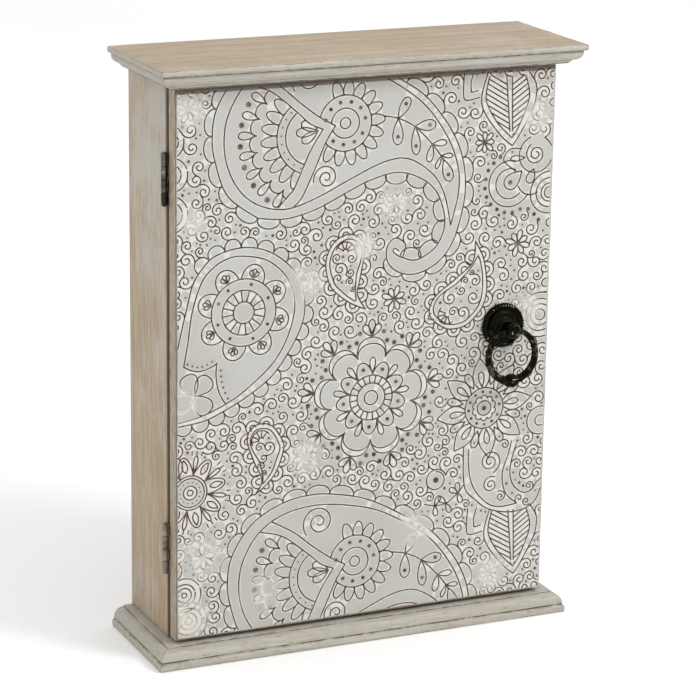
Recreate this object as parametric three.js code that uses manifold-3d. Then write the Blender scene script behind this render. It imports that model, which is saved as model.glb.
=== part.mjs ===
// Key cabinet: a small wooden box for keys with a carved overlay door, two butt hinges and a ring pull.
// Millimetres, +Z up, the door faces -Y. The origin is the centre of the plinth's underside.
import * as THREE from 'three';
import { mergeVertices } from 'three/addons/utils/BufferGeometryUtils.js';
import Module from 'manifold-3d';

const wasm = await Module();
wasm.setup();

// ---------------------------------------------------------------- driving dimensions
const BACK_Y = 37.5;
const CROWN = { halfWidth: 120, frontY: -42.5, bottom: 309, top: 320, neck: 7.6 };
const PLINTH = { halfWidth: 120, frontY: -37.5, top: 11.25, lip: 4.25, land: 6.6 };
const SIDE = { outerX: 108.5, innerX: 99.5, frontY: -18 };
const DOOR = { halfWidth: 108, frontY: -29, backY: -20, bottom: 13, top: 307.5 };
const BACK_PANEL = { frontY: 30.5, backY: 34.5, tongue: 3.7, groove: 4, slack: 0.2 };
const RAIL = { halfWidth: 99.3, thickness: 9, upper: [250, 286], lower: [138, 163] };
const HOOK = { wire: 1.1, bend: 2, throat: 6, shank: 7, tip: 4, collar: 3.2 };
const HOOK_X = [-60, 0, 60];
const HOOK_Z = { upper: 262, lower: 150 };
const HINGE = {
  axisX: -110.1, axisY: -19, length: 27.2, knuckles: 4, knuckleGap: 0.2,
  barrel: 1.6, bore: 0.85, pin: 0.78, plate: 0.8, plateGap: 0.2, clearX: 1.9, reachX: 9.9, screwX: 6.1,
};
const HINGE_BOTTOM = { upper: 246.8, lower: 48.6 };
const HINGE_SCREW_Z = [6.8, 20.4];
const PULL = { x: 80, z: 167.5, pivotOut: 12.5, rim: 12.5, post: 4.2, eye: 2.1, rod: 1.9 };
const RING = { radius: 13.9, wireTop: 1.2, wireBottom: 2.15, beadRadius: 3.8, beadHalf: 4.8 };
const CATCH = { z: 235, halfHeight: 11.5, flangeHalf: 18, screwOffset: 15 };
const HANGER = { x: 75, z: 268, halfHeight: 20, halfWidth: 8, thickness: 1.2, eye: 4.3, slot: 2.3 };
const BOARD_PIN_Y = [-5, 26];
const SCREW_SLACK = 0.15;
const ROUND = 12;

const X = new THREE.Vector3(1, 0, 0);
const Y = new THREE.Vector3(0, 1, 0);
const Z = new THREE.Vector3(0, 0, 1);
const MINUS_X = X.clone().negate();
const MINUS_Y = Y.clone().negate();
const MINUS_Z = Z.clone().negate();

// ---------------------------------------------------------------- materials
const FINISHES = {
  carvedDoor: { color: 0xbfbcb4, roughness: 0.75, metalness: 0 },
  washedTrim: { color: 0xb5ac9c, roughness: 0.75, metalness: 0 },
  sideWood: { color: 0xb09a7c, roughness: 0.8, metalness: 0 },
  innerWood: { color: 0xc8b089, roughness: 0.8, metalness: 0 },
  darkBronze: { color: 0x2b2622, roughness: 0.4, metalness: 0.9 },
  nickel: { color: 0xb9b4ad, roughness: 0.35, metalness: 1 },
  brass: { color: 0xb58e4c, roughness: 0.35, metalness: 1 },
  steel: { color: 0x9a9a98, roughness: 0.4, metalness: 1 },
  whitePlastic: { color: 0xdedbd2, roughness: 0.5, metalness: 0 },
  ferrite: { color: 0x39373a, roughness: 0.7, metalness: 0.2 },
  clearRubber: { color: 0xcfcabd, roughness: 0.6, metalness: 0 },
};

function piece(name, geometry, finish) {
  const mesh = new THREE.Mesh(geometry, new THREE.MeshStandardMaterial(FINISHES[finish]));
  mesh.name = name;
  return mesh;
}

// ---------------------------------------------------------------- solids and cuts
function toManifold(geometry) {
  const bare = geometry.clone();
  bare.deleteAttribute('normal');
  bare.deleteAttribute('uv');
  const merged = mergeVertices(bare);
  const corners = merged.index.array;
  const triangles = [];
  for (let i = 0; i < corners.length; i += 3) {
    const [a, b, c] = [corners[i], corners[i + 1], corners[i + 2]];
    if (a !== b && b !== c && c !== a) triangles.push(a, b, c);
  }
  return new wasm.Manifold(new wasm.Mesh({
    numProp: 3,
    vertProperties: Float32Array.from(merged.attributes.position.array),
    triVerts: Uint32Array.from(triangles),
  }));
}

function toGeometry(solid) {
  const mesh = solid.getMesh();
  const geometry = new THREE.BufferGeometry();
  geometry.setAttribute('position', new THREE.BufferAttribute(mesh.vertProperties, 3));
  geometry.setIndex(new THREE.BufferAttribute(mesh.triVerts, 1));
  geometry.computeVertexNormals();
  return geometry;
}

function join(first, ...others) {
  return toGeometry(others.reduce((solid, other) => solid.add(toManifold(other)), toManifold(first)));
}

function cut(body, ...cutters) {
  return toGeometry(cutters.reduce((solid, cutter) => solid.subtract(toManifold(cutter)), toManifold(body)));
}

function block([x0, x1], [y0, y1], [z0, z1]) {
  const box = new THREE.BoxGeometry(x1 - x0, y1 - y0, z1 - z0);
  return box.translate((x0 + x1) / 2, (y0 + y1) / 2, (z0 + z1) / 2);
}

// Turns a profile of [radius, height] points about an axis that starts at a point and runs along a direction.
function turned(profile, at, along, sides = ROUND) {
  const lathe = new THREE.LatheGeometry(profile.map(([r, h]) => new THREE.Vector2(r, h)), sides);
  lathe.applyQuaternion(new THREE.Quaternion().setFromUnitVectors(Y, along));
  return lathe.translate(at.x, at.y, at.z);
}

function rod(radius, low, high, at, along, sides = ROUND) {
  return turned([[0, low], [radius, low], [radius, high], [0, high]], at, along, sides);
}

// A flat plate in the XZ plane, between two Y values.
function plateFacingY(shape, [y0, y1]) {
  const plate = new THREE.ExtrudeGeometry(shape, { depth: y1 - y0, bevelEnabled: false, curveSegments: 8 });
  return plate.rotateX(Math.PI / 2).translate(0, y1, 0);
}

function slotShape(halfWidth, z0, z1) {
  const shape = new THREE.Shape();
  shape.moveTo(halfWidth, z0);
  shape.lineTo(halfWidth, z1);
  shape.absarc(0, z1, halfWidth, 0, Math.PI, false);
  shape.lineTo(-halfWidth, z0);
  shape.absarc(0, z0, halfWidth, Math.PI, 2 * Math.PI, false);
  return shape;
}

// ---------------------------------------------------------------- screws and dowels
// The head's top is at height 0 and the point is at minus the length.
function countersunk({ head, depth, shank, length }, slack = 0) {
  return [
    [0, -length - slack], [shank * 0.4 + slack, -length - slack], [shank + slack, -length + 2 * shank],
    [shank + slack, -depth], [head + slack, 0], [head + slack, 2 * slack], [0, 2 * slack],
  ];
}

function panHead({ head, rise, shank, length }, slack = 0) {
  return [
    [0, -length - slack], [shank * 0.4 + slack, -length - slack], [shank + slack, -length + 2 * shank],
    [shank + slack, 0], [head, 0], [head, rise * 0.4], [head * 0.6, rise * 0.9], [0, rise],
  ];
}

const HINGE_SCREW = { head: 1.6, depth: 0.7, shank: 0.8, length: 6 };
const PLINTH_SCREW = { head: 3.5, depth: 2.6, shank: 1.75, length: 32 };
const CATCH_SCREW = { head: 2.4, depth: 1.6, shank: 1.2, length: 8.5 };
const STRIKE_SCREW = { head: 2, depth: 0.9, shank: 1.1, length: 6.5 };
const HANGER_SCREW = { head: 2.7, rise: 1.4, shank: 1.4, length: 11.5 };
const DOWEL = { radius: 2.5, down: 14, up: 7 };

function screwPlaces() {
  const sides = [['left', -1], ['right', 1]];
  const ends = [['front', 0], ['rear', 1]];
  return sides.flatMap(([side, sign]) => ends.map(([end, i]) => ({
    name: `${side}_${end}`,
    x: (sign * (SIDE.outerX + SIDE.innerX)) / 2,
    y: BOARD_PIN_Y[i],
  })));
}

function plinthScrew(place, slack = 0) {
  return turned(countersunk(PLINTH_SCREW, slack), new THREE.Vector3(place.x, place.y, 0.1), MINUS_Z);
}

function crownDowel(place, slack = 0) {
  const at = new THREE.Vector3(place.x, place.y, CROWN.bottom);
  return rod(DOWEL.radius + slack, -DOWEL.down - slack, DOWEL.up + slack, at, Z);
}

// ---------------------------------------------------------------- crown and plinth
// A board with a moulded edge on its front, left and right. The edge is a path of (inset, height) points.
function mouldedBoard(edge, { halfWidth, frontY }) {
  const corners = edge.flatMap(({ x: inset, y: z }) => [
    [-halfWidth + inset, frontY + inset, z], [halfWidth - inset, frontY + inset, z],
    [halfWidth - inset, BACK_Y, z], [-halfWidth + inset, BACK_Y, z],
  ]);
  const top = corners.length - 4;
  const index = [0, 2, 1, 0, 3, 2, top, top + 1, top + 2, top, top + 2, top + 3];
  for (let level = 0; level < top; level += 4) {
    for (let i = 0; i < 4; i += 1) {
      const [a, b] = [level + i, level + (i + 1) % 4];
      index.push(a, b, b + 4, a, b + 4, a + 4);
    }
  }
  const geometry = new THREE.BufferGeometry();
  geometry.setAttribute('position', new THREE.Float32BufferAttribute(corners.flat(), 3));
  geometry.setIndex(index);
  return geometry;
}

// Cove-like fillet below, quarter-round above it, then a square lip with eased arrises.
function crownEdge() {
  const edge = new THREE.Path();
  edge.moveTo(CROWN.neck, CROWN.bottom);
  edge.quadraticCurveTo(6.5, 309.6, 6.4, 311);
  edge.absellipse(6.4, 315.5, 4.4, 4.5, -Math.PI / 2, -Math.PI, true);
  edge.lineTo(2, 316.2);
  edge.quadraticCurveTo(0, 316.6, 0, 318);
  edge.quadraticCurveTo(0, CROWN.top, 1.6, CROWN.top);
  return edge.getPoints(5);
}

// Square lip at the floor, a small step, then a quarter-round up to the flat top.
function plinthEdge() {
  const edge = new THREE.Path();
  edge.moveTo(0.6, 0);
  edge.lineTo(0, 0.6);
  edge.lineTo(0, PLINTH.lip - 0.8);
  edge.quadraticCurveTo(0, PLINTH.lip, 1.1, PLINTH.lip + 0.2);
  edge.lineTo(1.2, 5.7);
  edge.absellipse(PLINTH.land, 5.7, 5.4, PLINTH.top - 5.7, Math.PI, Math.PI / 2, true);
  return edge.getPoints(5);
}

function crownBoard() {
  return cut(mouldedBoard(crownEdge(), CROWN), ...screwPlaces().map((place) => crownDowel(place, SCREW_SLACK)));
}

function plinthBoard() {
  return cut(mouldedBoard(plinthEdge(), PLINTH), ...screwPlaces().map((place) => plinthScrew(place, SCREW_SLACK)));
}

// ---------------------------------------------------------------- carcass boards
function sideBoard(sign) {
  const { groove, slack, frontY, backY } = BACK_PANEL;
  const spanX = [sign * SIDE.innerX, sign * SIDE.outerX].sort((a, b) => a - b);
  const grooveX = [sign * (SIDE.innerX - 1), sign * (SIDE.innerX + groove)].sort((a, b) => a - b);
  const zSpan = [PLINTH.top, CROWN.bottom];
  const board = block(spanX, [SIDE.frontY, BACK_Y], zSpan);
  const slot = block(grooveX, [frontY - slack, backY + slack], [zSpan[0] - 1, zSpan[1] + 1]);
  const places = screwPlaces().filter(({ x }) => Math.sign(x) === sign);
  const holes = places.flatMap((place) => [plinthScrew(place, SCREW_SLACK), crownDowel(place, SCREW_SLACK)]);
  const fittings = sign < 0 ? hingeScrews('frame', SCREW_SLACK) : catchScrews(SCREW_SLACK);
  return cut(board, slot, ...holes, ...fittings.map(({ geometry }) => geometry));
}

function backPanel() {
  const halfWidth = SIDE.innerX + BACK_PANEL.tongue;
  const panel = block([-halfWidth, halfWidth], [BACK_PANEL.frontY, BACK_PANEL.backY], [11.5, 308.75]);
  const pockets = hangerPlaces().map(({ x }) => (
    plateFacingY(slotShape(5.6, HANGER.z - 4, HANGER.z + 6), [BACK_PANEL.frontY - 1, BACK_PANEL.backY + 1])
      .translate(x, 0, 0)
  ));
  return cut(panel, ...pockets, ...hangerScrews(SCREW_SLACK).map(({ geometry }) => geometry));
}

function hookRail(row) {
  const rail = block([-RAIL.halfWidth, RAIL.halfWidth], railDepth(), RAIL[row]);
  const holes = HOOK_X.map((x) => rod(HOOK.wire + 0.2, -HOOK.shank - 0.3, 1, hookFoot(x, row), MINUS_Y));
  const screws = row === 'upper' ? hangerScrews(SCREW_SLACK).map(({ geometry }) => geometry) : [];
  return cut(rail, ...holes, ...screws);
}

function railDepth() {
  return [BACK_PANEL.frontY - RAIL.thickness, BACK_PANEL.frontY];
}

// ---------------------------------------------------------------- key hooks
class WireArc extends THREE.Curve {
  constructor(centreY, centreZ, radius, from, to) {
    super();
    Object.assign(this, { centreY, centreZ, radius, from, to });
  }

  getPoint(t, target = new THREE.Vector3()) {
    const angle = this.from + (this.to - this.from) * t;
    return target.set(0, this.centreY + this.radius * Math.cos(angle), this.centreZ + this.radius * Math.sin(angle));
  }
}

function hookFoot(x, row) {
  return new THREE.Vector3(x, railDepth()[0], HOOK_Z[row]);
}

// A cup hook's wire: out of the rail, a tight bend down, round the cup and up to the tip.
function hookWire() {
  const { bend, throat, shank, tip } = HOOK;
  const turnY = -2.5;
  const cupY = turnY - bend - throat;
  const wire = new THREE.CurvePath();
  wire.add(new THREE.LineCurve3(new THREE.Vector3(0, shank, 0), new THREE.Vector3(0, turnY, 0)));
  wire.add(new WireArc(turnY, -bend, bend, Math.PI / 2, Math.PI));
  wire.add(new WireArc(cupY, -bend, throat, 0, -Math.PI));
  wire.add(new THREE.LineCurve3(
    new THREE.Vector3(0, cupY - throat, -bend),
    new THREE.Vector3(0, cupY - throat, tip),
  ));
  return wire;
}

function keyHook(x, row) {
  const foot = hookFoot(x, row);
  const section = new THREE.Shape().absarc(0, 0, HOOK.wire, 0, 2 * Math.PI, false);
  const wire = new THREE.ExtrudeGeometry(section, { extrudePath: hookWire(), steps: 26, curveSegments: 4 });
  const collar = [[0, 0.1], [HOOK.collar, 0.1], [HOOK.collar * 0.9, 0.7], [HOOK.wire, 1.4], [0, 1.4]];
  return join(wire.translate(foot.x, foot.y, foot.z), turned(collar, foot, MINUS_Y));
}

// ---------------------------------------------------------------- hinges
function hingeFoot(end) {
  return new THREE.Vector3(HINGE.axisX, HINGE.axisY, HINGE_BOTTOM[end]);
}

// side is +1 for the leaf on the carcass and -1 for the leaf on the door.
function hingeLeaf(end, side) {
  const foot = hingeFoot(end);
  const faces = [side * HINGE.plateGap, side * (HINGE.plateGap + HINGE.plate)].sort((a, b) => a - b);
  const spanY = faces.map((y) => foot.y + y);
  const spanZ = [foot.z, foot.z + HINGE.length - HINGE.knuckleGap];
  const plate = block([foot.x + HINGE.clearX, foot.x + HINGE.reachX], spanY, spanZ);
  const pitch = HINGE.length / HINGE.knuckles;
  const knuckles = [];
  for (let i = side > 0 ? 0 : 1; i < HINGE.knuckles; i += 2) {
    const [low, high] = [i * pitch, (i + 1) * pitch - HINGE.knuckleGap];
    knuckles.push(rod(HINGE.barrel, low, high, foot, Z));
    knuckles.push(block([foot.x, foot.x + HINGE.clearX + 0.5], spanY, [foot.z + low, foot.z + high]));
  }
  const bore = rod(HINGE.bore, -1, HINGE.length + 1, foot, Z);
  const screws = hingeScrews(side > 0 ? 'frame' : 'door', 0.1).filter((screw) => screw.end === end);
  return cut(join(plate, ...knuckles), bore, ...screws.map(({ geometry }) => geometry));
}

// The pin has a small head on top and rests on its own shoulder at the foot of the barrel.
function hingePin(end) {
  const { pin, length, bore } = HINGE;
  const profile = [
    [0, -0.7], [bore + 0.3, -0.7], [bore + 0.3, -0.1], [pin, -0.1], [pin, length - 0.1],
    [bore + 0.3, length - 0.1], [bore + 0.3, length + 0.5], [0, length + 0.5],
  ];
  return turned(profile, hingeFoot(end), Z);
}

function hingeScrews(leaf, slack = 0) {
  const side = leaf === 'frame' ? 1 : -1;
  const facing = side > 0 ? MINUS_Y : Y;
  return Object.keys(HINGE_BOTTOM).flatMap((end) => HINGE_SCREW_Z.map((height, i) => {
    const at = hingeFoot(end).add(new THREE.Vector3(HINGE.screwX, side * (HINGE.plateGap + 0.02), height));
    const name = `hinge_${end}_${leaf}_screw_${i + 1}`;
    return { name, end, geometry: turned(countersunk(HINGE_SCREW, slack), at, facing) };
  }));
}

// ---------------------------------------------------------------- door
function doorPanel() {
  const panel = block([-DOOR.halfWidth, DOOR.halfWidth], [DOOR.frontY, DOOR.backY], [DOOR.bottom, DOOR.top]);
  const pullHole = rod(PULL.rod + 0.3, -DOOR.backY - 1, -DOOR.frontY + 1, pullAxis(0), MINUS_Y);
  const screws = [...hingeScrews('door', SCREW_SLACK), strikeScrew(SCREW_SLACK)];
  return cut(panel, pullHole, ...screws.map(({ geometry }) => geometry));
}

// ---------------------------------------------------------------- ring pull
// A point on the pull's centre line, at a height in front of a plane facing -Y.
function pullAxis(y = DOOR.frontY) {
  return new THREE.Vector3(PULL.x, y, PULL.z);
}

function pullRosette() {
  const hole = PULL.rod + 0.3;
  const profile = [
    [hole, 0], [PULL.rim - 0.3, 0], [PULL.rim, 0.7], [PULL.rim - 0.2, 1.8], [PULL.rim - 1.5, 3.3],
    [PULL.rim - 2.5, 3.3], [PULL.rim - 3.6, 2.4], [7.2, 2.5], [5.6, 3.6], [hole, 4.6], [hole, 0],
  ];
  return turned(profile, pullAxis(), MINUS_Y, 32);
}

// The stud: a rod through the door, a shoulder on the rosette and a round head with a cross hole.
function pullPost() {
  const { rod: shaft, post, pivotOut, eye } = PULL;
  const threadEnd = DOOR.frontY - DOOR.backY - 4.6;
  const profile = [
    [0, threadEnd], [shaft - 0.3, threadEnd], [shaft, threadEnd + 0.4], [shaft, 4.7], [post + 0.3, 4.7],
    [post + 0.3, 5.6], [post - 0.4, 6.6], [post - 0.4, 8], [post, 9.4], [post, pivotOut + 2],
    [post - 0.6, pivotOut + 2.8], [post - 2, pivotOut + 3.4], [0, pivotOut + 3.6],
  ];
  const crossHole = rod(eye, -6, 6, pullAxis(DOOR.frontY - pivotOut), X);
  return cut(turned(profile, pullAxis(), MINUS_Y, 20), crossHole);
}

// Wire radius along the ring: thin in the eye, thicker below, and a bead at the very bottom.
function ringWire(angle) {
  const wire = THREE.MathUtils.lerp(RING.wireTop, RING.wireBottom, Math.sin(angle / 2));
  const fromBottom = Math.abs(angle - Math.PI) * RING.radius;
  const bead = 1 - (fromBottom / RING.beadHalf) ** 2;
  return bead > 0 ? Math.max(wire, RING.beadRadius * Math.sqrt(bead)) : wire;
}

// A closed loop of sections: angle 0 is at the eye and pi is at the bead.
function pullRing() {
  const [around, sides] = [60, 10];
  const centre = new THREE.Vector3(PULL.x, DOOR.frontY - PULL.pivotOut, PULL.z - RING.radius);
  const positions = [];
  const index = [];
  for (let i = 0; i < around; i += 1) {
    const angle = (2 * Math.PI * i) / around;
    for (let j = 0; j < sides; j += 1) {
      const turn = (2 * Math.PI * j) / sides;
      const reach = RING.radius + ringWire(angle) * Math.cos(turn);
      const y = centre.y + ringWire(angle) * Math.sin(turn);
      positions.push(centre.x + reach * Math.sin(angle), y, centre.z + reach * Math.cos(angle));
      const [a, b] = [i * sides + j, i * sides + (j + 1) % sides];
      const step = i === around - 1 ? sides - around * sides : sides;
      index.push(a, b + step, b, a, a + step, b + step);
    }
  }
  const geometry = new THREE.BufferGeometry();
  geometry.setAttribute('position', new THREE.Float32BufferAttribute(positions, 3));
  geometry.setIndex(index);
  return geometry;
}

function pullWasher() {
  const hole = PULL.rod + 0.25;
  const profile = [[hole, 0], [4.5, 0], [4.5, 0.8], [hole, 0.8], [hole, 0]];
  return turned(profile, pullAxis(DOOR.backY), Y);
}

function pullNut() {
  const hexagon = rod(4, 0.9, 3.6, pullAxis(DOOR.backY), Y, 6);
  return cut(hexagon, rod(PULL.rod + 0.15, 0, 5, pullAxis(DOOR.backY), Y));
}

// ---------------------------------------------------------------- magnetic catch
function catchCase() {
  const wall = SIDE.innerX - 0.05;
  const { z, halfHeight, flangeHalf } = CATCH;
  const body = block([88, wall], [-17.5, -6.5], [z - halfHeight, z + halfHeight]);
  const flange = block([wall - 2.6, wall], [-17.5, -6.5], [z - flangeHalf, z + flangeHalf]);
  const pocket = block([90, 97], [-20, -8], [z - 10, z + 10]);
  return cut(join(body, flange), pocket, ...catchScrews(0.1).map(({ geometry }) => geometry));
}

function catchMagnet() {
  return block([91.7, 95.3], [-16.6, -8.3], [CATCH.z - 9.6, CATCH.z + 9.6]);
}

function polePlate(x0) {
  return block([x0, x0 + 1.2], [-18.6, -8.3], [CATCH.z - 9.6, CATCH.z + 9.6]);
}

function catchScrews(slack = 0) {
  return [['lower', -1], ['upper', 1]].map(([end, sign]) => {
    const at = new THREE.Vector3(SIDE.innerX - 2.7, -12, CATCH.z + sign * CATCH.screwOffset);
    return { name: `catch_screw_${end}`, geometry: turned(countersunk(CATCH_SCREW, slack), at, MINUS_X) };
  });
}

function strikePlate() {
  const plate = block([87.5, 99], [DOOR.backY, DOOR.backY + 1], [CATCH.z - 14, CATCH.z + 14]);
  return cut(plate, strikeScrew(0.1).geometry);
}

function strikeScrew(slack = 0) {
  const at = new THREE.Vector3(93.3, DOOR.backY + 0.98, CATCH.z);
  return { name: 'strike_screw', geometry: turned(countersunk(STRIKE_SCREW, slack), at, Y) };
}

function doorBumper(z) {
  const at = new THREE.Vector3((SIDE.innerX + SIDE.outerX) / 2, DOOR.backY, z);
  return turned([[0, 0], [3.5, 0], [3.4, 1], [2.4, 1.6], [0, 1.6]], at, Y, 20);
}

// ---------------------------------------------------------------- wall hangers
function hangerPlaces() {
  return [{ name: 'left', x: -HANGER.x }, { name: 'right', x: HANGER.x }];
}

// A steel plate with a keyhole: the screw head enters at the round end and the plate drops onto the slot.
function hangerPlate({ x }) {
  const { z, halfHeight, halfWidth, eye, slot, thickness } = HANGER;
  const outline = slotShape(halfWidth, z - halfHeight + halfWidth, z + halfHeight - halfWidth);
  const spanY = [BACK_PANEL.backY, BACK_PANEL.backY + thickness];
  const throughY = [spanY[0] - 1, spanY[1] + 1];
  const eyeHole = rod(eye, throughY[0], throughY[1], new THREE.Vector3(0, 0, z - 4), Y, 20);
  const slotHole = plateFacingY(slotShape(slot, z - 4, z + 6), throughY);
  const plate = cut(plateFacingY(outline, spanY), eyeHole, slotHole).translate(x, 0, 0);
  return cut(plate, ...hangerScrews(0.2).map(({ geometry }) => geometry));
}

function hangerScrews(slack = 0) {
  const y = BACK_PANEL.backY + HANGER.thickness + 0.05;
  const ends = [['lower', -1], ['upper', 1]];
  return hangerPlaces().flatMap((place) => ends.map(([end, sign]) => {
    const at = new THREE.Vector3(place.x, y, HANGER.z + sign * (HANGER.halfHeight - 5));
    const geometry = turned(panHead(HANGER_SCREW, slack), at, Y);
    return { name: `hanger_${place.name}_screw_${end}`, geometry };
  }));
}

// ---------------------------------------------------------------- assembly
function carcass() {
  const group = new THREE.Group();
  group.add(
    piece('crown_board', crownBoard(), 'washedTrim'),
    piece('plinth_board', plinthBoard(), 'washedTrim'),
    piece('side_board_left', sideBoard(-1), 'sideWood'),
    piece('side_board_right', sideBoard(1), 'sideWood'),
    piece('back_panel', backPanel(), 'innerWood'),
  );
  for (const place of screwPlaces()) {
    group.add(piece(`plinth_screw_${place.name}`, plinthScrew(place), 'steel'));
    group.add(piece(`crown_dowel_${place.name}`, crownDowel(place), 'innerWood'));
  }
  for (const row of ['upper', 'lower']) {
    group.add(piece(`hook_rail_${row}`, hookRail(row), 'innerWood'));
    HOOK_X.forEach((x, i) => group.add(piece(`key_hook_${row}_${i + 1}`, keyHook(x, row), 'brass')));
  }
  group.add(
    piece('catch_case', catchCase(), 'whitePlastic'),
    piece('catch_magnet', catchMagnet(), 'ferrite'),
    piece('catch_pole_inner', polePlate(90.3), 'steel'),
    piece('catch_pole_outer', polePlate(95.5), 'steel'),
  );
  for (const place of hangerPlaces()) {
    group.add(piece(`hanger_${place.name}`, hangerPlate(place), 'steel'));
  }
  for (const end of Object.keys(HINGE_BOTTOM)) {
    group.add(piece(`hinge_${end}_frame_leaf`, hingeLeaf(end, 1), 'nickel'));
    group.add(piece(`hinge_${end}_pin`, hingePin(end), 'nickel'));
  }
  for (const { name, geometry } of hingeScrews('frame')) group.add(piece(name, geometry, 'nickel'));
  for (const { name, geometry } of [...catchScrews(), ...hangerScrews()]) group.add(piece(name, geometry, 'steel'));
  return group;
}

function door() {
  const group = new THREE.Group();
  group.add(piece('door_panel', doorPanel(), 'carvedDoor'));
  for (const end of Object.keys(HINGE_BOTTOM)) {
    group.add(piece(`hinge_${end}_door_leaf`, hingeLeaf(end, -1), 'nickel'));
  }
  for (const { name, geometry } of hingeScrews('door')) group.add(piece(name, geometry, 'nickel'));
  group.add(
    piece('pull_rosette', pullRosette(), 'darkBronze'),
    piece('pull_post', pullPost(), 'darkBronze'),
    piece('pull_washer', pullWasher(), 'steel'),
    piece('pull_nut', pullNut(), 'steel'),
    piece('strike_plate', strikePlate(), 'steel'),
    piece('strike_screw', strikeScrew().geometry, 'steel'),
    piece('door_bumper_lower', doorBumper(40), 'clearRubber'),
    piece('door_bumper_upper', doorBumper(280), 'clearRubber'),
  );
  return group;
}

const cabinet = new THREE.Group();
cabinet.name = 'key_cabinet';
cabinet.add(carcass(), door(), piece('pull_ring', pullRing(), 'darkBronze'));

export default cabinet;
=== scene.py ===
"""Key cabinet with a carved overlay door, two butt hinges and a ring pull.

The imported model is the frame: each piece here takes its place from it and rides on one of its bodies.
"""
import math
import random

import bmesh
import bpy
import numpy as np
from mathutils import Matrix, Vector, kdtree
from mathutils.geometry import delaunay_2d_cdt


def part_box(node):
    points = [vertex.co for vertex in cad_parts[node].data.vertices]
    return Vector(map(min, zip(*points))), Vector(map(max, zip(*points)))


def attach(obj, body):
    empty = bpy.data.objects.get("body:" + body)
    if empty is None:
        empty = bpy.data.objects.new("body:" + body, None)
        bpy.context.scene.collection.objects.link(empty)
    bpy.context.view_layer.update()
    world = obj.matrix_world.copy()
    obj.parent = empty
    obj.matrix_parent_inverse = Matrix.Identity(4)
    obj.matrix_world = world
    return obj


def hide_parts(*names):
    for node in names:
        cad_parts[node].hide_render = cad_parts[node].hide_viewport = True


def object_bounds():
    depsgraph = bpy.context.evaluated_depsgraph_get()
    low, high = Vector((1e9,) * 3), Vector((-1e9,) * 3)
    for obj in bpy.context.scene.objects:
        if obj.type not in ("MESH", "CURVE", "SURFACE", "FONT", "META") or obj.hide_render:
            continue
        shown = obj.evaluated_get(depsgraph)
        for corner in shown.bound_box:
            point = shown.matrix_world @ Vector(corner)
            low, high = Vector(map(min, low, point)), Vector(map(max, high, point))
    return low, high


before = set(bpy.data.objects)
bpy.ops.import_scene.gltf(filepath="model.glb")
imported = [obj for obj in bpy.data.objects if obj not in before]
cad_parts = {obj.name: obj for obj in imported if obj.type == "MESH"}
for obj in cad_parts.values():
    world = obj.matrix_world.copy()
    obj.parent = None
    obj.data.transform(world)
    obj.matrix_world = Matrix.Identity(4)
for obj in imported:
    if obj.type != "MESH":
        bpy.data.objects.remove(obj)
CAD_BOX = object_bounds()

bl_info = {
    "name": "Carved key cabinet",
    "version": (1, 0, 0),
    "blender": (4, 5, 0),
    "location": "View3D > Sidebar > Cabinet",
    "description": "Builds a small wooden key cabinet with a carved door round its packed frame",
    "category": "Object",
}

MM = 0.001
X_AXIS = Vector((1, 0, 0))
Y_AXIS = Vector((0, 1, 0))
Z_AXIS = Vector((0, 0, 1))


# ------------------------------------------------------------------ settings
def size_prop(name, description, value_mm, low_mm, high_mm):
    return bpy.props.FloatProperty(name=name, description=description, default=value_mm * MM, min=low_mm * MM,
                                   max=high_mm * MM, subtype="DISTANCE", unit="LENGTH", precision=5)


def colour_prop(name, description, value):
    return bpy.props.FloatVectorProperty(name=name, description=description, default=value, size=3, min=0,
                                         max=1,
                                         subtype="COLOR")


class CabinetSizes(bpy.types.PropertyGroup):
    groove_width: size_prop("Groove width", "Width of a carved line", 0.94, 0.4, 1.5)
    groove_depth: size_prop("Groove depth", "Depth of a carved line at its middle", 0.7, 0.1, 1.5)
    door_arris: size_prop("Door arris", "Rounding of the door's edges", 0.75, 0.2, 2)
    board_arris: size_prop("Board arris", "Rounding of the boards' edges", 0.5, 0.1, 1.5)
    rope_bead: size_prop("Rope bead", "Pitch of the rope on the rosette's rim", 1.55, 0.8, 3)
    filler_seed: bpy.props.IntProperty(name="Filler seed", description="Seed of the small scrolls",
                                       default=7, min=0)
    flutes: bpy.props.IntProperty(name="Flutes", description="Flutes round the ring's wire", default=13,
                                  min=5, max=20)
    flute_depth: bpy.props.FloatProperty(name="Flute depth",
                                         description="Depth of a flute as a share of the wire",
                                         default=0.24, min=0, max=0.4, subtype="FACTOR")


class CabinetColours(bpy.types.PropertyGroup):
    paint: colour_prop("Paint", "Chalky paint on the door", (0.43, 0.425, 0.398))
    groove: colour_prop("Groove", "Brown left in the carved lines", (0.088, 0.039, 0.016))
    trim: colour_prop("Trim", "Whitewash on the mouldings", (0.455, 0.432, 0.372))
    wood: colour_prop("Wood", "Bare wood of the sides and the top", (0.33, 0.25, 0.17))
    bronze: colour_prop("Bronze", "Dark metal of the ring pull", (0.0075, 0.0075, 0.0045))


def sizes():
    return bpy.context.scene.cabinet_sizes


def colours():
    return bpy.context.scene.cabinet_colours


# ------------------------------------------------------------------ node helpers
def feed(tree, socket, value):
    """Links a socket, or sets a plain value on it."""
    if isinstance(value, bpy.types.NodeSocket):
        tree.links.new(value, socket)
    else:
        socket.default_value = value


def node(tree, kind, settings=None, **inputs):
    made = tree.nodes.new(kind)
    for key, value in (settings or {}).items():
        setattr(made, key, value)
    for key, value in inputs.items():
        feed(tree, made.inputs[key.replace("_", " ")], value)
    return made


def sums(tree, operation, *values):
    made = tree.nodes.new("ShaderNodeMath")
    made.operation = operation
    for socket, value in zip(made.inputs, values):
        feed(tree, socket, value)
    return made.outputs[0]


def times(tree, *values):
    return sums(tree, "MULTIPLY", *values)


def plus(tree, *values):
    return sums(tree, "ADD", *values)


def minus(tree, *values):
    return sums(tree, "SUBTRACT", *values)


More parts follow.
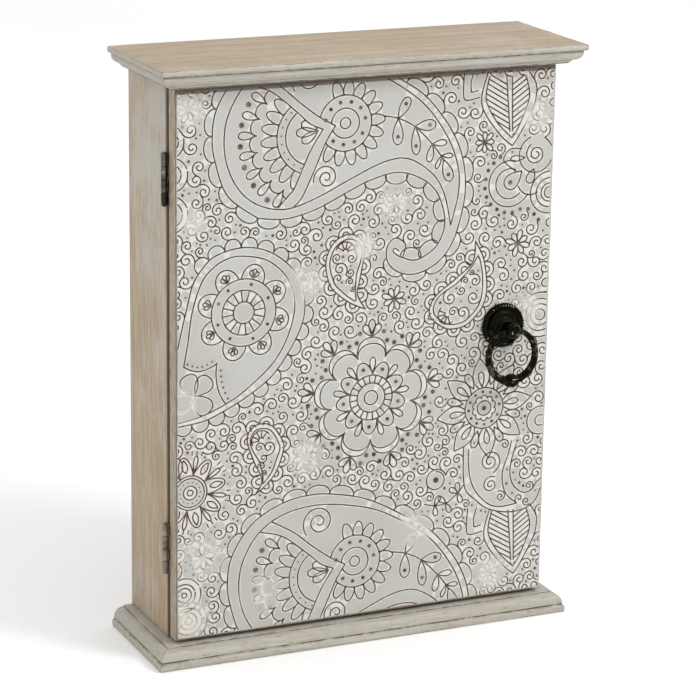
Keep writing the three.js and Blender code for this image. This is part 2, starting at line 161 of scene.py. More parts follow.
def ramp(tree, value, low, high, start=0.0, end=1.0):
    made = tree.nodes.new("ShaderNodeMapRange")
    made.interpolation_type = "SMOOTHSTEP"
    for socket, entry in zip(made.inputs[:5], (value, low, high, start, end)):
        feed(tree, socket, entry)
    return made.outputs[0]


def blend(tree, mask, first, second):
    made = tree.nodes.new("ShaderNodeMix")
    made.data_type = "RGBA"
    made.blend_type = "MIX"
    feed(tree, made.inputs[0], mask)
    for index, entry in ((6, first), (7, second)):
        feed(tree, made.inputs[index], rgba(entry) if isinstance(entry, tuple) else entry)
    return made.outputs[2]


def rgba(colour):
    return tuple(colour)[:3] + (1.0,)


def mapped(tree, vector, scale):
    made = tree.nodes.new("ShaderNodeMapping")
    feed(tree, made.inputs["Vector"], vector)
    made.inputs["Scale"].default_value = scale
    return made.outputs[0]


def noise(tree, vector, scale=1.0, detail=4.0, rough=0.55, twist=0.0):
    made = tree.nodes.new("ShaderNodeTexNoise")
    feed(tree, made.inputs["Vector"], vector)
    made.inputs["Scale"].default_value = scale
    made.inputs["Detail"].default_value = detail
    made.inputs["Roughness"].default_value = rough
    made.inputs["Distortion"].default_value = twist
    return made.outputs["Fac"]


def group(name, inputs, outputs):
    """A shader node group with named sockets; returns the tree and its two end nodes."""
    tree = bpy.data.node_groups.new(name, "ShaderNodeTree")
    for label, kind, default in inputs:
        made = tree.interface.new_socket(name=label, in_out="INPUT", socket_type=kind)
        if default is not None:
            made.default_value = default
    for label, kind in outputs:
        tree.interface.new_socket(name=label, in_out="OUTPUT", socket_type=kind)
    return tree, tree.nodes.new("NodeGroupInput").outputs, tree.nodes.new("NodeGroupOutput").inputs


def use(tree, name, **inputs):
    made = tree.nodes.new("ShaderNodeGroup")
    made.node_tree = bpy.data.node_groups[name]
    for key, value in inputs.items():
        feed(tree, made.inputs[key.replace("_", " ")], value)
    return made.outputs


def build_groups():
    scalar, vector = "NodeSocketFloat", "NodeSocketVector"

    tree, given, out = group("wood_grain", [("Vector", vector, None), ("Stretch", vector, (1, 1, 1))],
                             [("Grain", scalar), ("Pores", scalar), ("Broad", scalar), ("Height", scalar)])
    flow = node(tree, "ShaderNodeVectorMath", {"operation": "MULTIPLY"})
    feed(tree, flow.inputs[0], given["Vector"])
    feed(tree, flow.inputs[1], given["Stretch"])
    lines = noise(tree, flow.outputs[0], 1.0, 5.0, 0.62, 0.35)
    pores = noise(tree, flow.outputs[0], 3.1, 2.0, 0.5)
    broad = noise(tree, flow.outputs[0], 0.16, 3.0, 0.5, 0.6)
    feed(tree, out["Grain"], ramp(tree, lines, 0.33, 0.68))
    feed(tree, out["Pores"], ramp(tree, pores, 0.60, 0.72))
    feed(tree, out["Broad"], ramp(tree, broad, 0.34, 0.66))
    feed(tree, out["Height"], minus(tree, lines, times(tree, pores, 0.5)))

    tree, given, out = group("arris_wear", [("Vector", vector, None), ("Centre", vector, (0, 0, 0)),
                                            ("Half", vector, (1, 1, 1)), ("Reach", scalar, 0.002)],
                             [("Wear", scalar), ("Near", scalar)])
    gap = node(tree, "ShaderNodeVectorMath", {"operation": "SUBTRACT"})
    feed(tree, gap.inputs[0], given["Vector"])
    feed(tree, gap.inputs[1], given["Centre"])
    size = node(tree, "ShaderNodeVectorMath", {"operation": "ABSOLUTE"})
    feed(tree, size.inputs[0], gap.outputs[0])
    left = node(tree, "ShaderNodeVectorMath", {"operation": "SUBTRACT"})
    feed(tree, left.inputs[0], given["Half"])
    feed(tree, left.inputs[1], size.outputs[0])
    parts = node(tree, "ShaderNodeSeparateXYZ")
    feed(tree, parts.inputs[0], left.outputs[0])
    x, y, z = parts.outputs
    second = sums(tree, "MINIMUM",
                  sums(tree, "MINIMUM", sums(tree, "MAXIMUM", x, y), sums(tree, "MAXIMUM", y, z)),
                  sums(tree, "MAXIMUM", x, z))
    chips = noise(tree, given["Vector"], 330.0, 5.0, 0.7)
    patches = noise(tree, given["Vector"], 46.0, 3.0, 0.6)
    reach = times(tree, given["Reach"], times(tree, plus(tree, chips, patches), 1.25))
    share = sums(tree, "DIVIDE", second, reach)
    feed(tree, out["Wear"], ramp(tree, share, 1.0, 0.45))
    feed(tree, out["Near"], ramp(tree, sums(tree, "DIVIDE", second, given["Reach"]), 9.0, 0.0))

    tree, given, out = group("whitewash", [("Vector", vector, None), ("Stretch", vector, (1, 1, 1)),
                                           ("Cover", scalar, 0.5)], [("Mask", scalar), ("Thin", scalar)])
    flow = node(tree, "ShaderNodeVectorMath", {"operation": "MULTIPLY"})
    feed(tree, flow.inputs[0], given["Vector"])
    feed(tree, flow.inputs[1], given["Stretch"])
    streaks = noise(tree, flow.outputs[0], 1.0, 6.0, 0.68, 0.2)
    clouds = noise(tree, given["Vector"], 17.0, 4.0, 0.6, 0.4)
    level = plus(tree, times(tree, streaks, 0.55), times(tree, clouds, 0.45))
    edge = minus(tree, 1.0, given["Cover"])
    feed(tree, out["Mask"], ramp(tree, minus(tree, level, times(tree, edge, 0.9)), 0.02, 0.22))
    feed(tree, out["Thin"], ramp(tree, streaks, 0.42, 0.70))

    tree, given, out = group("brush_marks", [("Vector", vector, None)],
                             [("Height", scalar), ("Tone", scalar)])
    stroke = noise(tree, mapped(tree, given["Vector"], (420, 420, 60)), 1.0, 4.0, 0.6)
    cross = noise(tree, mapped(tree, given["Vector"], (50, 300, 380)), 1.0, 3.0, 0.6)
    grit = noise(tree, given["Vector"], 2100.0, 3.0, 0.6)
    feed(tree, out["Height"], plus(tree, plus(tree, stroke, cross), times(tree, grit, 0.5)))
    feed(tree, out["Tone"], ramp(tree, plus(tree, stroke, cross), 0.75, 1.3))

    tree, given, out = group("cast_skin", [("Vector", vector, None), ("Scale", scalar, 900.0)],
                             [("Height", scalar), ("Rub", scalar), ("Stain", scalar)])
    fine = tree.nodes.new("ShaderNodeTexNoise")
    feed(tree, fine.inputs["Vector"], given["Vector"])
    feed(tree, fine.inputs["Scale"], given["Scale"])
    fine.inputs["Detail"].default_value = 4.0
    rub = noise(tree, given["Vector"], 260.0, 4.0, 0.6)
    stain = noise(tree, given["Vector"], 120.0, 3.0, 0.6, 0.5)
    feed(tree, out["Height"], fine.outputs["Fac"])
    feed(tree, out["Rub"], ramp(tree, rub, 0.50, 0.68))
    feed(tree, out["Stain"], ramp(tree, stain, 0.38, 0.66))


def material(name, paint):
    """A material whose Principled shader is fed by paint(tree, coordinates, shader)."""
    made = bpy.data.materials.new(name)
    made.use_nodes = True
    tree = made.node_tree
    shader = tree.nodes["Principled BSDF"]
    place = tree.nodes.new("ShaderNodeTexCoord").outputs["Object"]
    paint(tree, place, shader)
    return made


def bump(tree, shader, height, distance, strength=0.6):
    made = node(tree, "ShaderNodeBump", Height=height, Distance=distance, Strength=strength)
    feed(tree, shader.inputs["Normal"], made.outputs[0])


def attribute(tree, name):
    return node(tree, "ShaderNodeAttribute", {"attribute_name": name}).outputs["Fac"]


# ------------------------------------------------------------------ finishes
WASH = (0.45, 0.435, 0.395)
GREY_LINE = (0.17, 0.145, 0.12)
# Near-black brown for painted shade in the gaps above and beside the door and in the creases under the
# mouldings' steps; also the dark mitre lines.
SHADE_AND_MITRE_DARK = (0.075, 0.052, 0.036)
WORN_WOOD = (0.25, 0.17, 0.11)


def carved_paint(tree, place, shader):
    paint, groove = rgba(colours().paint), rgba(colours().groove)
    marks = use(tree, "brush_marks", Vector=place)
    clouds = ramp(tree, noise(tree, place, 13.0, 5.0, 0.6, 0.4), 0.32, 0.68)
    warm = blend(tree, clouds, (0.405, 0.385, 0.345), (0.445, 0.448, 0.43))
    ground = blend(tree, times(tree, marks["Tone"], 0.35), warm, paint)
    haze = noise(tree, place, 60.0, 4.0, 0.65)
    worn = ramp(tree, haze, 0.62, 0.78, 0.0, 0.35)
    ground = blend(tree, worn, ground, (0.36, 0.315, 0.26))
    # Painted highlight: the ground lighter along the banks of the grooves.
    halo = ramp(tree, attribute(tree, "halo"), 0.65, 1.0, 0.0, 0.68)
    ground = blend(tree, halo, ground, (0.66, 0.635, 0.575))
    tone = ramp(tree, noise(tree, place, 21.0, 3.0, 0.6), 0.36, 0.62)
    line = blend(tree, tone, (0.050, 0.033, 0.018), groove)
    core = ramp(tree, attribute(tree, "carve"), 0.6, 0.95, 0.0, 0.85)
    line = blend(tree, core, line, (0.026, 0.017, 0.009))
    patchy = ramp(tree, noise(tree, place, 240.0, 4.0, 0.7), 0.30, 0.62, 0.7, 1.0)
    carve = ramp(tree, attribute(tree, "carve"), 0.08, 0.42)
    left = minus(tree, 1.0, times(tree, attribute(tree, "faded"),
                                            ramp(tree, noise(tree, place, 150.0, 4.0, 0.6), 0.32, 0.52, 0.25,
                                                 0.85)))
    mask = times(tree, times(tree, carve, patchy), left)
    painted = blend(tree, mask, ground, line)
    edge = ramp(tree, times(tree, attribute(tree, "wear"), noise(tree, place, 190.0, 4.0, 0.7)), 0.40, 0.58)
    low, high = (Vector(corner) for corner in corners("door_panel"))
    rim = use(tree, "arris_wear", Vector=place, Centre=tuple((low + high) / 2), Half=tuple((high - low) / 2),
              Reach=0.0011)
    spot = node(tree, "ShaderNodeSeparateXYZ", Vector=place).outputs
    chipped = times(tree, rim["Wear"], ramp(tree, spot[0], high.x - 0.002, high.x - 0.006, 0.15, 1.0))
    worn_paint = blend(tree, sums(tree, "MAXIMUM", edge, chipped), painted, (0.155, 0.118, 0.082))
    # Painted shade: a dark band along the top of the door's face, standing for the shadow under the crown's
    # overhang.
    lip = ramp(tree, spot[2], high.z - 0.0028, high.z - 0.0020)
    worn_paint = blend(tree, times(tree, lip, 0.85), worn_paint, SHADE_AND_MITRE_DARK)
    raw = blend(tree, ramp(tree, noise(tree, mapped(tree, place, (900, 900, 160)), 1.0, 5.0, 0.7), 0.36,
                           0.64),
                (0.24, 0.185, 0.125), (0.40, 0.345, 0.265))
    # Painted shade: the door's edge faces darkened along the back arris, for the dark gap between the door
    # and the side boards.
    deep = times(tree, ramp(tree, spot[1], high.y - 0.0011, high.y - 0.0004),
                sums(tree, "POWER", rim["Near"], 4.0))
    raw = blend(tree, times(tree, deep, 0.85), raw, SHADE_AND_MITRE_DARK)
    feed(tree, shader.inputs["Base Color"], blend(tree, attribute(tree, "side"), worn_paint, raw))
    feed(tree, shader.inputs["Roughness"], ramp(tree, marks["Tone"], 0.0, 1.0, 0.62, 0.78))
    bump(tree, shader, marks["Height"], 0.00011, 0.45)


def limed_trim(stretch):
    def paint(tree, place, shader):
        marks = use(tree, "brush_marks", Vector=place)
        grain = use(tree, "wood_grain", Vector=place, Stretch=stretch)
        wash = use(tree, "whitewash", Vector=place, Stretch=tuple(0.8 * s for s in stretch), Cover=0.86)
        bare = blend(tree, grain["Grain"], WORN_WOOD, rgba(colours().wood))
        cover = blend(tree, wash["Thin"], (0.345, 0.32, 0.265), rgba(colours().trim))
        cover = blend(tree, times(tree, marks["Tone"], 0.35), cover, WASH)
        coat = blend(tree, wash["Mask"], bare, cover)
        rub = times(tree, attribute(tree, "wear"), noise(tree, place, 120.0, 5.0, 0.7))
        coat = blend(tree, ramp(tree, rub, 0.36, 0.50, 0.0, 0.8), coat, GREY_LINE)
        # Painted shade in the creases under the steps and along the crown's underside, and the dark mitre
        # lines at the front corners.
        crease = ramp(tree, attribute(tree, "crease"), 0.45, 0.95)
        thin = ramp(tree, noise(tree, place, 120.0, 5.0, 0.75), 0.36, 0.54, 0.2, 1.0)
        coat = blend(tree, times(tree, crease, thin), coat, SHADE_AND_MITRE_DARK)
        flecks = noise(tree, mapped(tree, place, (160, 900, 900)), 1.0, 5.0, 0.75)
        coat = blend(tree, ramp(tree, flecks, 0.54, 0.66, 0.0, 0.5), coat, GREY_LINE)
        height = node(tree, "ShaderNodeSeparateXYZ", Vector=place).outputs[2]
        top = CAD_BOX[1].z - 0.0003
        is_top = ramp(tree, height, top - 0.0002, top)
        broad = blend(tree, grain["Broad"], (0.365, 0.287, 0.195), (0.455, 0.368, 0.26))
        top_wood = blend(tree, times(tree, grain["Grain"], 0.75), broad, (0.25, 0.178, 0.112))
        top_wood = blend(tree, ramp(tree, flecks, 0.52, 0.64, 0.0, 0.6), top_wood, (0.20, 0.14, 0.085))
        limed = use(tree, "whitewash", Vector=place, Stretch=stretch, Cover=0.48)
        top_wood = blend(tree, times(tree, limed["Mask"], 0.55), top_wood, WASH)
        top_wood = blend(tree, ramp(tree, rub, 0.22, 0.46, 0.0, 0.6), top_wood, (0.34, 0.315, 0.27))
        feed(tree, shader.inputs["Base Color"], blend(tree, is_top, coat, top_wood))
        feed(tree, shader.inputs["Roughness"], ramp(tree, marks["Tone"], 0.0, 1.0, 0.58, 0.74))
        bump(tree, shader, plus(tree, grain["Height"], marks["Height"]), 0.00012, 0.5)
    return paint


def board_wood(low, high, stretch, light, dark, cover, reach=0.0016, shade_front=False):
    """Bare wood with limed streaks; low and high are the board's corners, for the wear along its edges."""
    centre = tuple((a + b) / 2 for a, b in zip(low, high))
    half = tuple((b - a) / 2 for a, b in zip(low, high))

    def paint(tree, place, shader):
        grain = use(tree, "wood_grain", Vector=place, Stretch=stretch)
        rise = ramp(tree, node(tree, "ShaderNodeSeparateXYZ", Vector=place).outputs[2],
                    low[2] + 0.2 * (high[2] - low[2]),
                    high[2], cover, cover + 0.13)
        wash = use(tree, "whitewash", Vector=place, Stretch=tuple(max(60.0, 0.9 * s) for s in stretch),
                   Cover=rise)
        wear = use(tree, "arris_wear", Vector=place, Centre=centre, Half=half, Reach=reach)
        wood = blend(tree, grain["Broad"], dark, light)
        deep = tuple(0.66 * c for c in dark)
        wood = blend(tree, times(tree, grain["Grain"], 0.62), wood, deep)
        wood = blend(tree, times(tree, grain["Pores"], 0.4), wood, deep)
        streak = sums(tree, "MAXIMUM", wash["Mask"], times(tree, wear["Near"],
                                                          times(tree, wash["Thin"], 0.85)))
        limed = blend(tree, times(tree, streak, 0.85), wood, WASH)
        limed = blend(tree, times(tree, wear["Wear"], 0.55), limed, (0.28, 0.20, 0.14))
        # Painted shade: the front face of the board darkened, for the shade in the gap behind the door.
        if shade_front:
            front = ramp(tree, node(tree, "ShaderNodeSeparateXYZ", Vector=place).outputs[1], low[1] + 0.0007,
                         low[1])
            limed = blend(tree, times(tree, front, 0.8), limed, SHADE_AND_MITRE_DARK)
        feed(tree, shader.inputs["Base Color"], limed)
        feed(tree, shader.inputs["Roughness"], ramp(tree, grain["Grain"], 0.0, 1.0, 0.60, 0.74))
        bump(tree, shader, grain["Height"], 0.00016, 0.55)
    return paint


def metal(base, worn, roughness, scale=900.0, stained=None, metallic=1.0, depth=0.00005, ridge=None):
    def paint(tree, place, shader):
        skin = use(tree, "cast_skin", Vector=place, Scale=scale)
        colour = blend(tree, times(tree, skin["Rub"], 0.7), tuple(base), tuple(worn))
        if stained:
            colour = blend(tree, skin["Stain"], colour, tuple(stained))
        # Lighter crests: partly rubbed bronze, partly painted highlight.
        if ridge:
            crest = times(tree, attribute(tree, "ridge"), plus(tree, skin["Rub"], 0.42))
            colour = blend(tree, ramp(tree, crest, 0.25, 0.9), colour, tuple(ridge))
        feed(tree, shader.inputs["Base Color"], colour)
        shader.inputs["Metallic"].default_value = metallic
        feed(tree, shader.inputs["Roughness"],
             ramp(tree, skin["Stain"], 0.0, 1.0, roughness, roughness + 0.16))
        bump(tree, shader, skin["Height"], depth, 0.4)
    return paint


def moulded(base, second, roughness, depth=0.00004):
    def paint(tree, place, shader):
        skin = use(tree, "cast_skin", Vector=place, Scale=1500.0)
        feed(tree, shader.inputs["Base Color"], blend(tree, skin["Stain"], base, second))
        feed(tree, shader.inputs["Roughness"], ramp(tree, skin["Rub"], 0.0, 1.0, roughness, roughness + 0.12))
        bump(tree, shader, skin["Height"], depth, 0.5)
    return paint


def corners(name):
    low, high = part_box(name)
    return tuple(low), tuple(high)


def build_materials():
    build_groups()
    along_x, along_z = (30, 860, 860), (860, 860, 34)
    tan, brown = (0.44, 0.34, 0.22), (0.36, 0.262, 0.16)
    made = {
        "carved_paint": carved_paint,
        "limed_trim": limed_trim(along_x),
        "side_left": board_wood(*corners("side_board_left"), along_z, tan, brown, 0.5, shade_front=True),
        "side_right": board_wood(*corners("side_board_right"), along_z, tan, brown, 0.5, shade_front=True),
        "back_ply": board_wood(*corners("back_panel"), (500, 500, 18), (0.36, 0.285, 0.205),
                               (0.30, 0.225, 0.155), 0.22),
        "rail_wood": board_wood(*corners("hook_rail_upper"), along_x, (0.42, 0.335, 0.245),
                                (0.34, 0.255, 0.175), 0.35),
        "bronze": metal(colours().bronze, (0.022, 0.020, 0.012), 0.22, ridge=(0.36, 0.33, 0.25)),
        "nickel": metal((0.13, 0.12, 0.11), (0.45, 0.43, 0.41), 0.28, 1200.0, (0.04, 0.035, 0.03)),
        # A paler copy of the nickel for the lower hinge: painted reflection, the same hardware as the upper
        # one.
        "nickel_washed": metal((0.22, 0.188, 0.14), (0.36, 0.32, 0.25), 0.36, 1200.0, (0.10, 0.08, 0.058),
                               0.55),
        "brass": metal((0.62, 0.43, 0.16), (0.80, 0.62, 0.30), 0.22, 1400.0, (0.40, 0.26, 0.10)),
        "zinc": metal((0.52, 0.52, 0.51), (0.68, 0.68, 0.66), 0.34, 1100.0, (0.40, 0.40, 0.38)),
        "catch_plastic": moulded((0.72, 0.72, 0.70), (0.78, 0.78, 0.76), 0.38),
        "ferrite_block": moulded((0.045, 0.045, 0.05), (0.075, 0.072, 0.07), 0.55),
        "rubber": moulded((0.55, 0.55, 0.53), (0.62, 0.62, 0.60), 0.50),
    }
    for name, paint in made.items():
        material(name, paint)


# ------------------------------------------------------------------ mesh helpers
class Solid:
    """Vertices and faces of a piece as it grows, in metres."""

    def __init__(self):
        self.verts = []
        self.faces = []

    def add(self, verts, faces):
        first = len(self.verts)
        self.verts += [tuple(v) for v in verts]
        self.faces += [tuple(first + i for i in face) for face in faces]

    def turned(self, profile, place, along, sides=32):
        """Turns a profile of radius and height, in millimetres, round an axis through place."""
        matrix = Matrix.Translation(Vector(place)) @ Vector(along).to_track_quat("Z",
                                                                                 "Y").to_matrix().to_4x4()
        rows, verts, faces = [], [], []
        for r, h in profile:
            if r < 1e-6:
                rows.append([len(verts)] * sides)
                verts.append(matrix @ Vector((0, 0, h * MM)))
            else:
                rows.append(list(range(len(verts), len(verts) + sides)))
                verts += [matrix @ Vector((r * MM * math.cos(2 * math.pi * k / sides),
                                           r * MM * math.sin(2 * math.pi * k / sides),
                                           h * MM)) for k in range(sides)]
        for low, high in zip(rows, rows[1:]):
            for k in range(sides):
                face = (low[k], low[(k + 1) % sides], high[(k + 1) % sides], high[k])
                faces.append(tuple(dict.fromkeys(face)))
        self.add(verts, faces)

    def block(self, low, high):
        (x0, y0, z0), (x1, y1, z1) = low, high
        self.add([(x0, y0, z0), (x1, y0, z0), (x1, y1, z0), (x0, y1, z0),
                  (x0, y0, z1), (x1, y0, z1), (x1, y1, z1), (x0, y1, z1)],
                 [(0, 3, 2, 1), (4, 5, 6, 7), (0, 1, 5, 4), (1, 2, 6, 5), (2, 3, 7, 6), (3, 0, 4, 7)])


def shaded(bm, angle=34.0):
    limit = math.radians(angle)
    for face in bm.faces:
        face.smooth = True
    for edge in bm.edges:
        edge.smooth = len(edge.link_faces) == 2 and edge.calc_face_angle(0.0) < limit


def finish_piece(obj, body, finish, nodes=()):
    """The piece rides on its body, takes its finish and stands for its CAD nodes."""
    if finish:
        obj.data.materials.clear()
        obj.data.materials.append(bpy.data.materials[finish])
    if obj.name not in bpy.context.scene.collection.objects:
        bpy.context.scene.collection.objects.link(obj)
    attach(obj, body)
    if nodes:
        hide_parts(*nodes)
    return obj


def object_of(name, bm, angle=34.0, outward=False):
    if outward:
        bmesh.ops.recalc_face_normals(bm, faces=bm.faces)
    shaded(bm, angle)
    mesh = bpy.data.meshes.new(name)
    bm.to_mesh(mesh)
    bm.free()
    return bpy.data.objects.new(name, mesh)


def bmesh_of(solid, merge=1e-7):
    bm = bmesh.new()
    made = [bm.verts.new(v) for v in solid.verts]
    for face in solid.faces:
        bm.faces.new([made[i] for i in face])
    bmesh.ops.remove_doubles(bm, verts=bm.verts, dist=merge)
    return bm


def eased(bm, width, angle=40.0, segments=2, least=0.0):
    """Rounds the sharp outward edges that are longer than least."""
    limit = math.radians(angle)
    sharp = [e for e in bm.edges if len(e.link_faces) == 2 and e.calc_face_angle_signed(0.0) > limit
             and e.calc_length() > least]
    bmesh.ops.bevel(bm, geom=sharp, offset=width, segments=segments, profile=0.5, affect="EDGES",
                    clamp_overlap=True)


def eased_copy(name, source, width, least=0.0, angle=40.0):
    """A copy of a CAD node with its flat faces whole and its arrises rounded."""
    bm = bmesh.new()
    bm.from_mesh(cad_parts[source].data)
    bmesh.ops.remove_doubles(bm, verts=bm.verts, dist=1e-6)
    bmesh.ops.dissolve_limit(bm, angle_limit=math.radians(0.6), verts=bm.verts, edges=bm.edges)
    eased(bm, width, angle, 2, least)
    return object_of(name, bm)


def plain_mesh(obj):
    """The object's evaluated shape as a plain mesh, with its modifiers gone."""
    graph = bpy.context.evaluated_depsgraph_get()
    mesh = bpy.data.meshes.new_from_object(obj.evaluated_get(graph), depsgraph=graph)
    obj.modifiers.clear()
    if obj.type == "MESH":
        obj.data = mesh
        return obj
    made = bpy.data.objects.new(obj.name + "_mesh", mesh)
    bpy.data.objects.remove(obj)
    return made


# ------------------------------------------------------------------ geometry node helpers
def geometry_tree(name, inputs):
    tree = bpy.data.node_groups.new(name, "GeometryNodeTree")
    tree.interface.new_socket(name="Geometry", in_out="INPUT", socket_type="NodeSocketGeometry")
    for label, kind, default in inputs:
        made = tree.interface.new_socket(name=label, in_out="INPUT", socket_type=kind)
        if default is not None:
            made.default_value = default
    tree.interface.new_socket(name="Geometry", in_out="OUTPUT", socket_type="NodeSocketGeometry")
    return tree, tree.nodes.new("NodeGroupInput").outputs, tree.nodes.new("NodeGroupOutput").inputs


def close_tree(tree, given, out, shape):
    """Ends a tree in Realize Instances and Set Material."""
    real = node(tree, "GeometryNodeRealizeInstances", Geometry=shape)
    painted = node(tree, "GeometryNodeSetMaterial", Geometry=real.outputs[0], Material=given["Material"])
    feed(tree, out[0], painted.outputs[0])


def grown(name, tree, mesh, **inputs):
    """A plain mesh object grown by a Geometry Nodes tree from a starting mesh."""
    obj = bpy.data.objects.new(name, mesh)
    bpy.context.scene.collection.objects.link(obj)
    modifier = obj.modifiers.new("grow", "NODES")
    modifier.node_group = tree
    for item in tree.interface.items_tree:
        key = item.name.replace(" ", "_")
        if item.in_out == "INPUT" and key in inputs:
            modifier[item.identifier] = inputs[key]
    return plain_mesh(obj)


def named(tree, kind, name):
    made = tree.nodes.new("GeometryNodeInputNamedAttribute")
    made.data_type = kind
    made.inputs["Name"].default_value = name
    return made.outputs["Attribute"]


def stored(tree, shape, name, value):
    """The same geometry with a value kept on its points for the finish to read."""
    made = node(tree, "GeometryNodeStoreNamedAttribute", Geometry=shape, Name=name, Value=value)
    return made.outputs[0]


# ------------------------------------------------------------------ carved pattern, in millimetres
class Door:
    """The carved panel's face: x from its middle, z from its foot."""
    low, high = (Vector(c) / MM for c in corners("door_panel"))
    width = high.x - low.x
    height = high.z - low.z
    margin = 1.25


def turn(x, z, angle):
    c, s = math.cos(angle), math.sin(angle)
    return x * c - z * s, x * s + z * c


def spaced(points, step):
    """The same line with its points one step apart."""
    out = [points[0]]
    carried = 0.0
    for (x0, z0), (x1, z1) in zip(points, points[1:]):
        length = math.hypot(x1 - x0, z1 - z0)
        along = step - carried
        while along < length:
            f = along / length
            out.append((x0 + (x1 - x0) * f, z0 + (z1 - z0) * f))
            along += step
        carried = (carried + length) % step if length else carried
    if math.hypot(out[-1][0] - points[-1][0], out[-1][1] - points[-1][1]) > step * 0.4:
        out.append(points[-1])
    else:
        out[-1] = points[-1]
    return out


def thinned(points, angle=15.0, longest=1.7, shortest=0.42):
    """Drops points where the line runs straight enough."""
    out = [points[0]]
    bend = 0.0
    for a, b, c in zip(points, points[1:], points[2:]):
        first = math.atan2(b[1] - a[1], b[0] - a[0])
        second = math.atan2(c[1] - b[1], c[0] - b[0])
        bend += abs(math.degrees((second - first + math.pi) % (2 * math.pi) - math.pi))
        far = math.hypot(b[0] - out[-1][0], b[1] - out[-1][1])
        if far >= longest or (bend >= angle and far >= shortest):
            out.append(b)
            bend = 0.0
    out.append(points[-1])
    return out


def smooth(points, per=8):
    """A Catmull-Rom curve through the points."""
    padded = [points[0]] + list(points) + [points[-1]]
    out = []
    for a, b, c, d in zip(padded, padded[1:], padded[2:], padded[3:]):
        for k in range(per):
            t = k / per
            out.append(tuple(
                0.5 * (2 * q + (r - p) * t + (2 * p - 5 * q + 4 * r - s) * t * t
                       + (3 * q - p - 3 * r + s) * t ** 3)
                for p, q, r, s in zip(a, b, c, d)))
    return out + [points[-1]]


def arc(x, z, r, start=0.0, end=360.0):
    count = max(6, int(abs(end - start) / 9))
    angles = [math.radians(start + (end - start) * k / count) for k in range(count + 1)]
    return [(x + r * math.cos(a), z + r * math.sin(a)) for a in angles]


def scroll(x, z, r, start, turns=1.5, hand=1, last=0.2):
    """A spiral that starts at radius r and winds in."""
    count = int(turns * 20)
    out = []
    for k in range(count + 1):
        t = k / count
        radius = r * (1 - (1 - last) * t ** 0.85)
        a = math.radians(start) + hand * turns * 2 * math.pi * t
        out.append((x + radius * math.cos(a), z + radius * math.sin(a)))
    return out


def tendril(x, z, r, angle, turns, hand):
    """From the line it touches, closing quickly to its own round scroll."""
    count = int(turns * 20)
    out = []
    for k in range(count + 1):
        t = 1 - k / count
        radius = r * (0.17 + 0.57 * t ** 0.9 + 0.26 * t ** 6)
        a = math.radians(angle) + hand * turns * 2 * math.pi * (1 - t)
        out.append((x + radius * math.cos(a), z + radius * math.sin(a)))
    return out


def drop(x, z, angle, length, width):
    """A teardrop with its point at the base and a round end."""
    out = []
    for k in range(25):
        f = 2 * math.pi * k / 24
        u = length * (1 - math.cos(f)) / 2
        v = width / 2 * math.sin(f) * abs(math.sin(f / 2)) * 1.3
        dx, dz = turn(u, v, math.radians(angle))
        out.append((x + dx, z + dz))
    return out


def leaf(x, z, angle, length, width, belly=0.45):
    """A leaf with a point at both ends."""
    out = []
    for side in (1, -1):
        for k in range(13):
            t = k / 12 if side > 0 else 1 - k / 12
            v = side * width / 2 * math.sin(math.pi * t ** (math.log(0.5) / math.log(belly)))
            dx, dz = turn(length * t, v, math.radians(angle))
            out.append((x + dx, z + dz))
    return out


def lobe(p, q, height, side=1, fullness=0.15):
    """A rounded scallop from p to q, standing to one side of the line between them."""
    (x0, z0), (x1, z1) = p, q
    half = math.hypot(x1 - x0, z1 - z0) / 2
    ux, uz = (x1 - x0) / (2 * half), (z1 - z0) / (2 * half)
    out = []
    for k in range(15):
        f = math.pi * k / 14
        along = -half * math.cos(f) * (1 + fullness * math.sin(f))
        rise = height * math.sin(f) * side
        out.append(((x0 + x1) / 2 + ux * along - uz * rise, (z0 + z1) / 2 + uz * along + ux * rise))
    return out


def moved(points, dx, dz):
    return [(x + dx, z + dz) for x, z in points]


def polar(x, z, r, degrees):
    a = math.radians(degrees)
    return x + r * math.cos(a), z + r * math.sin(a)


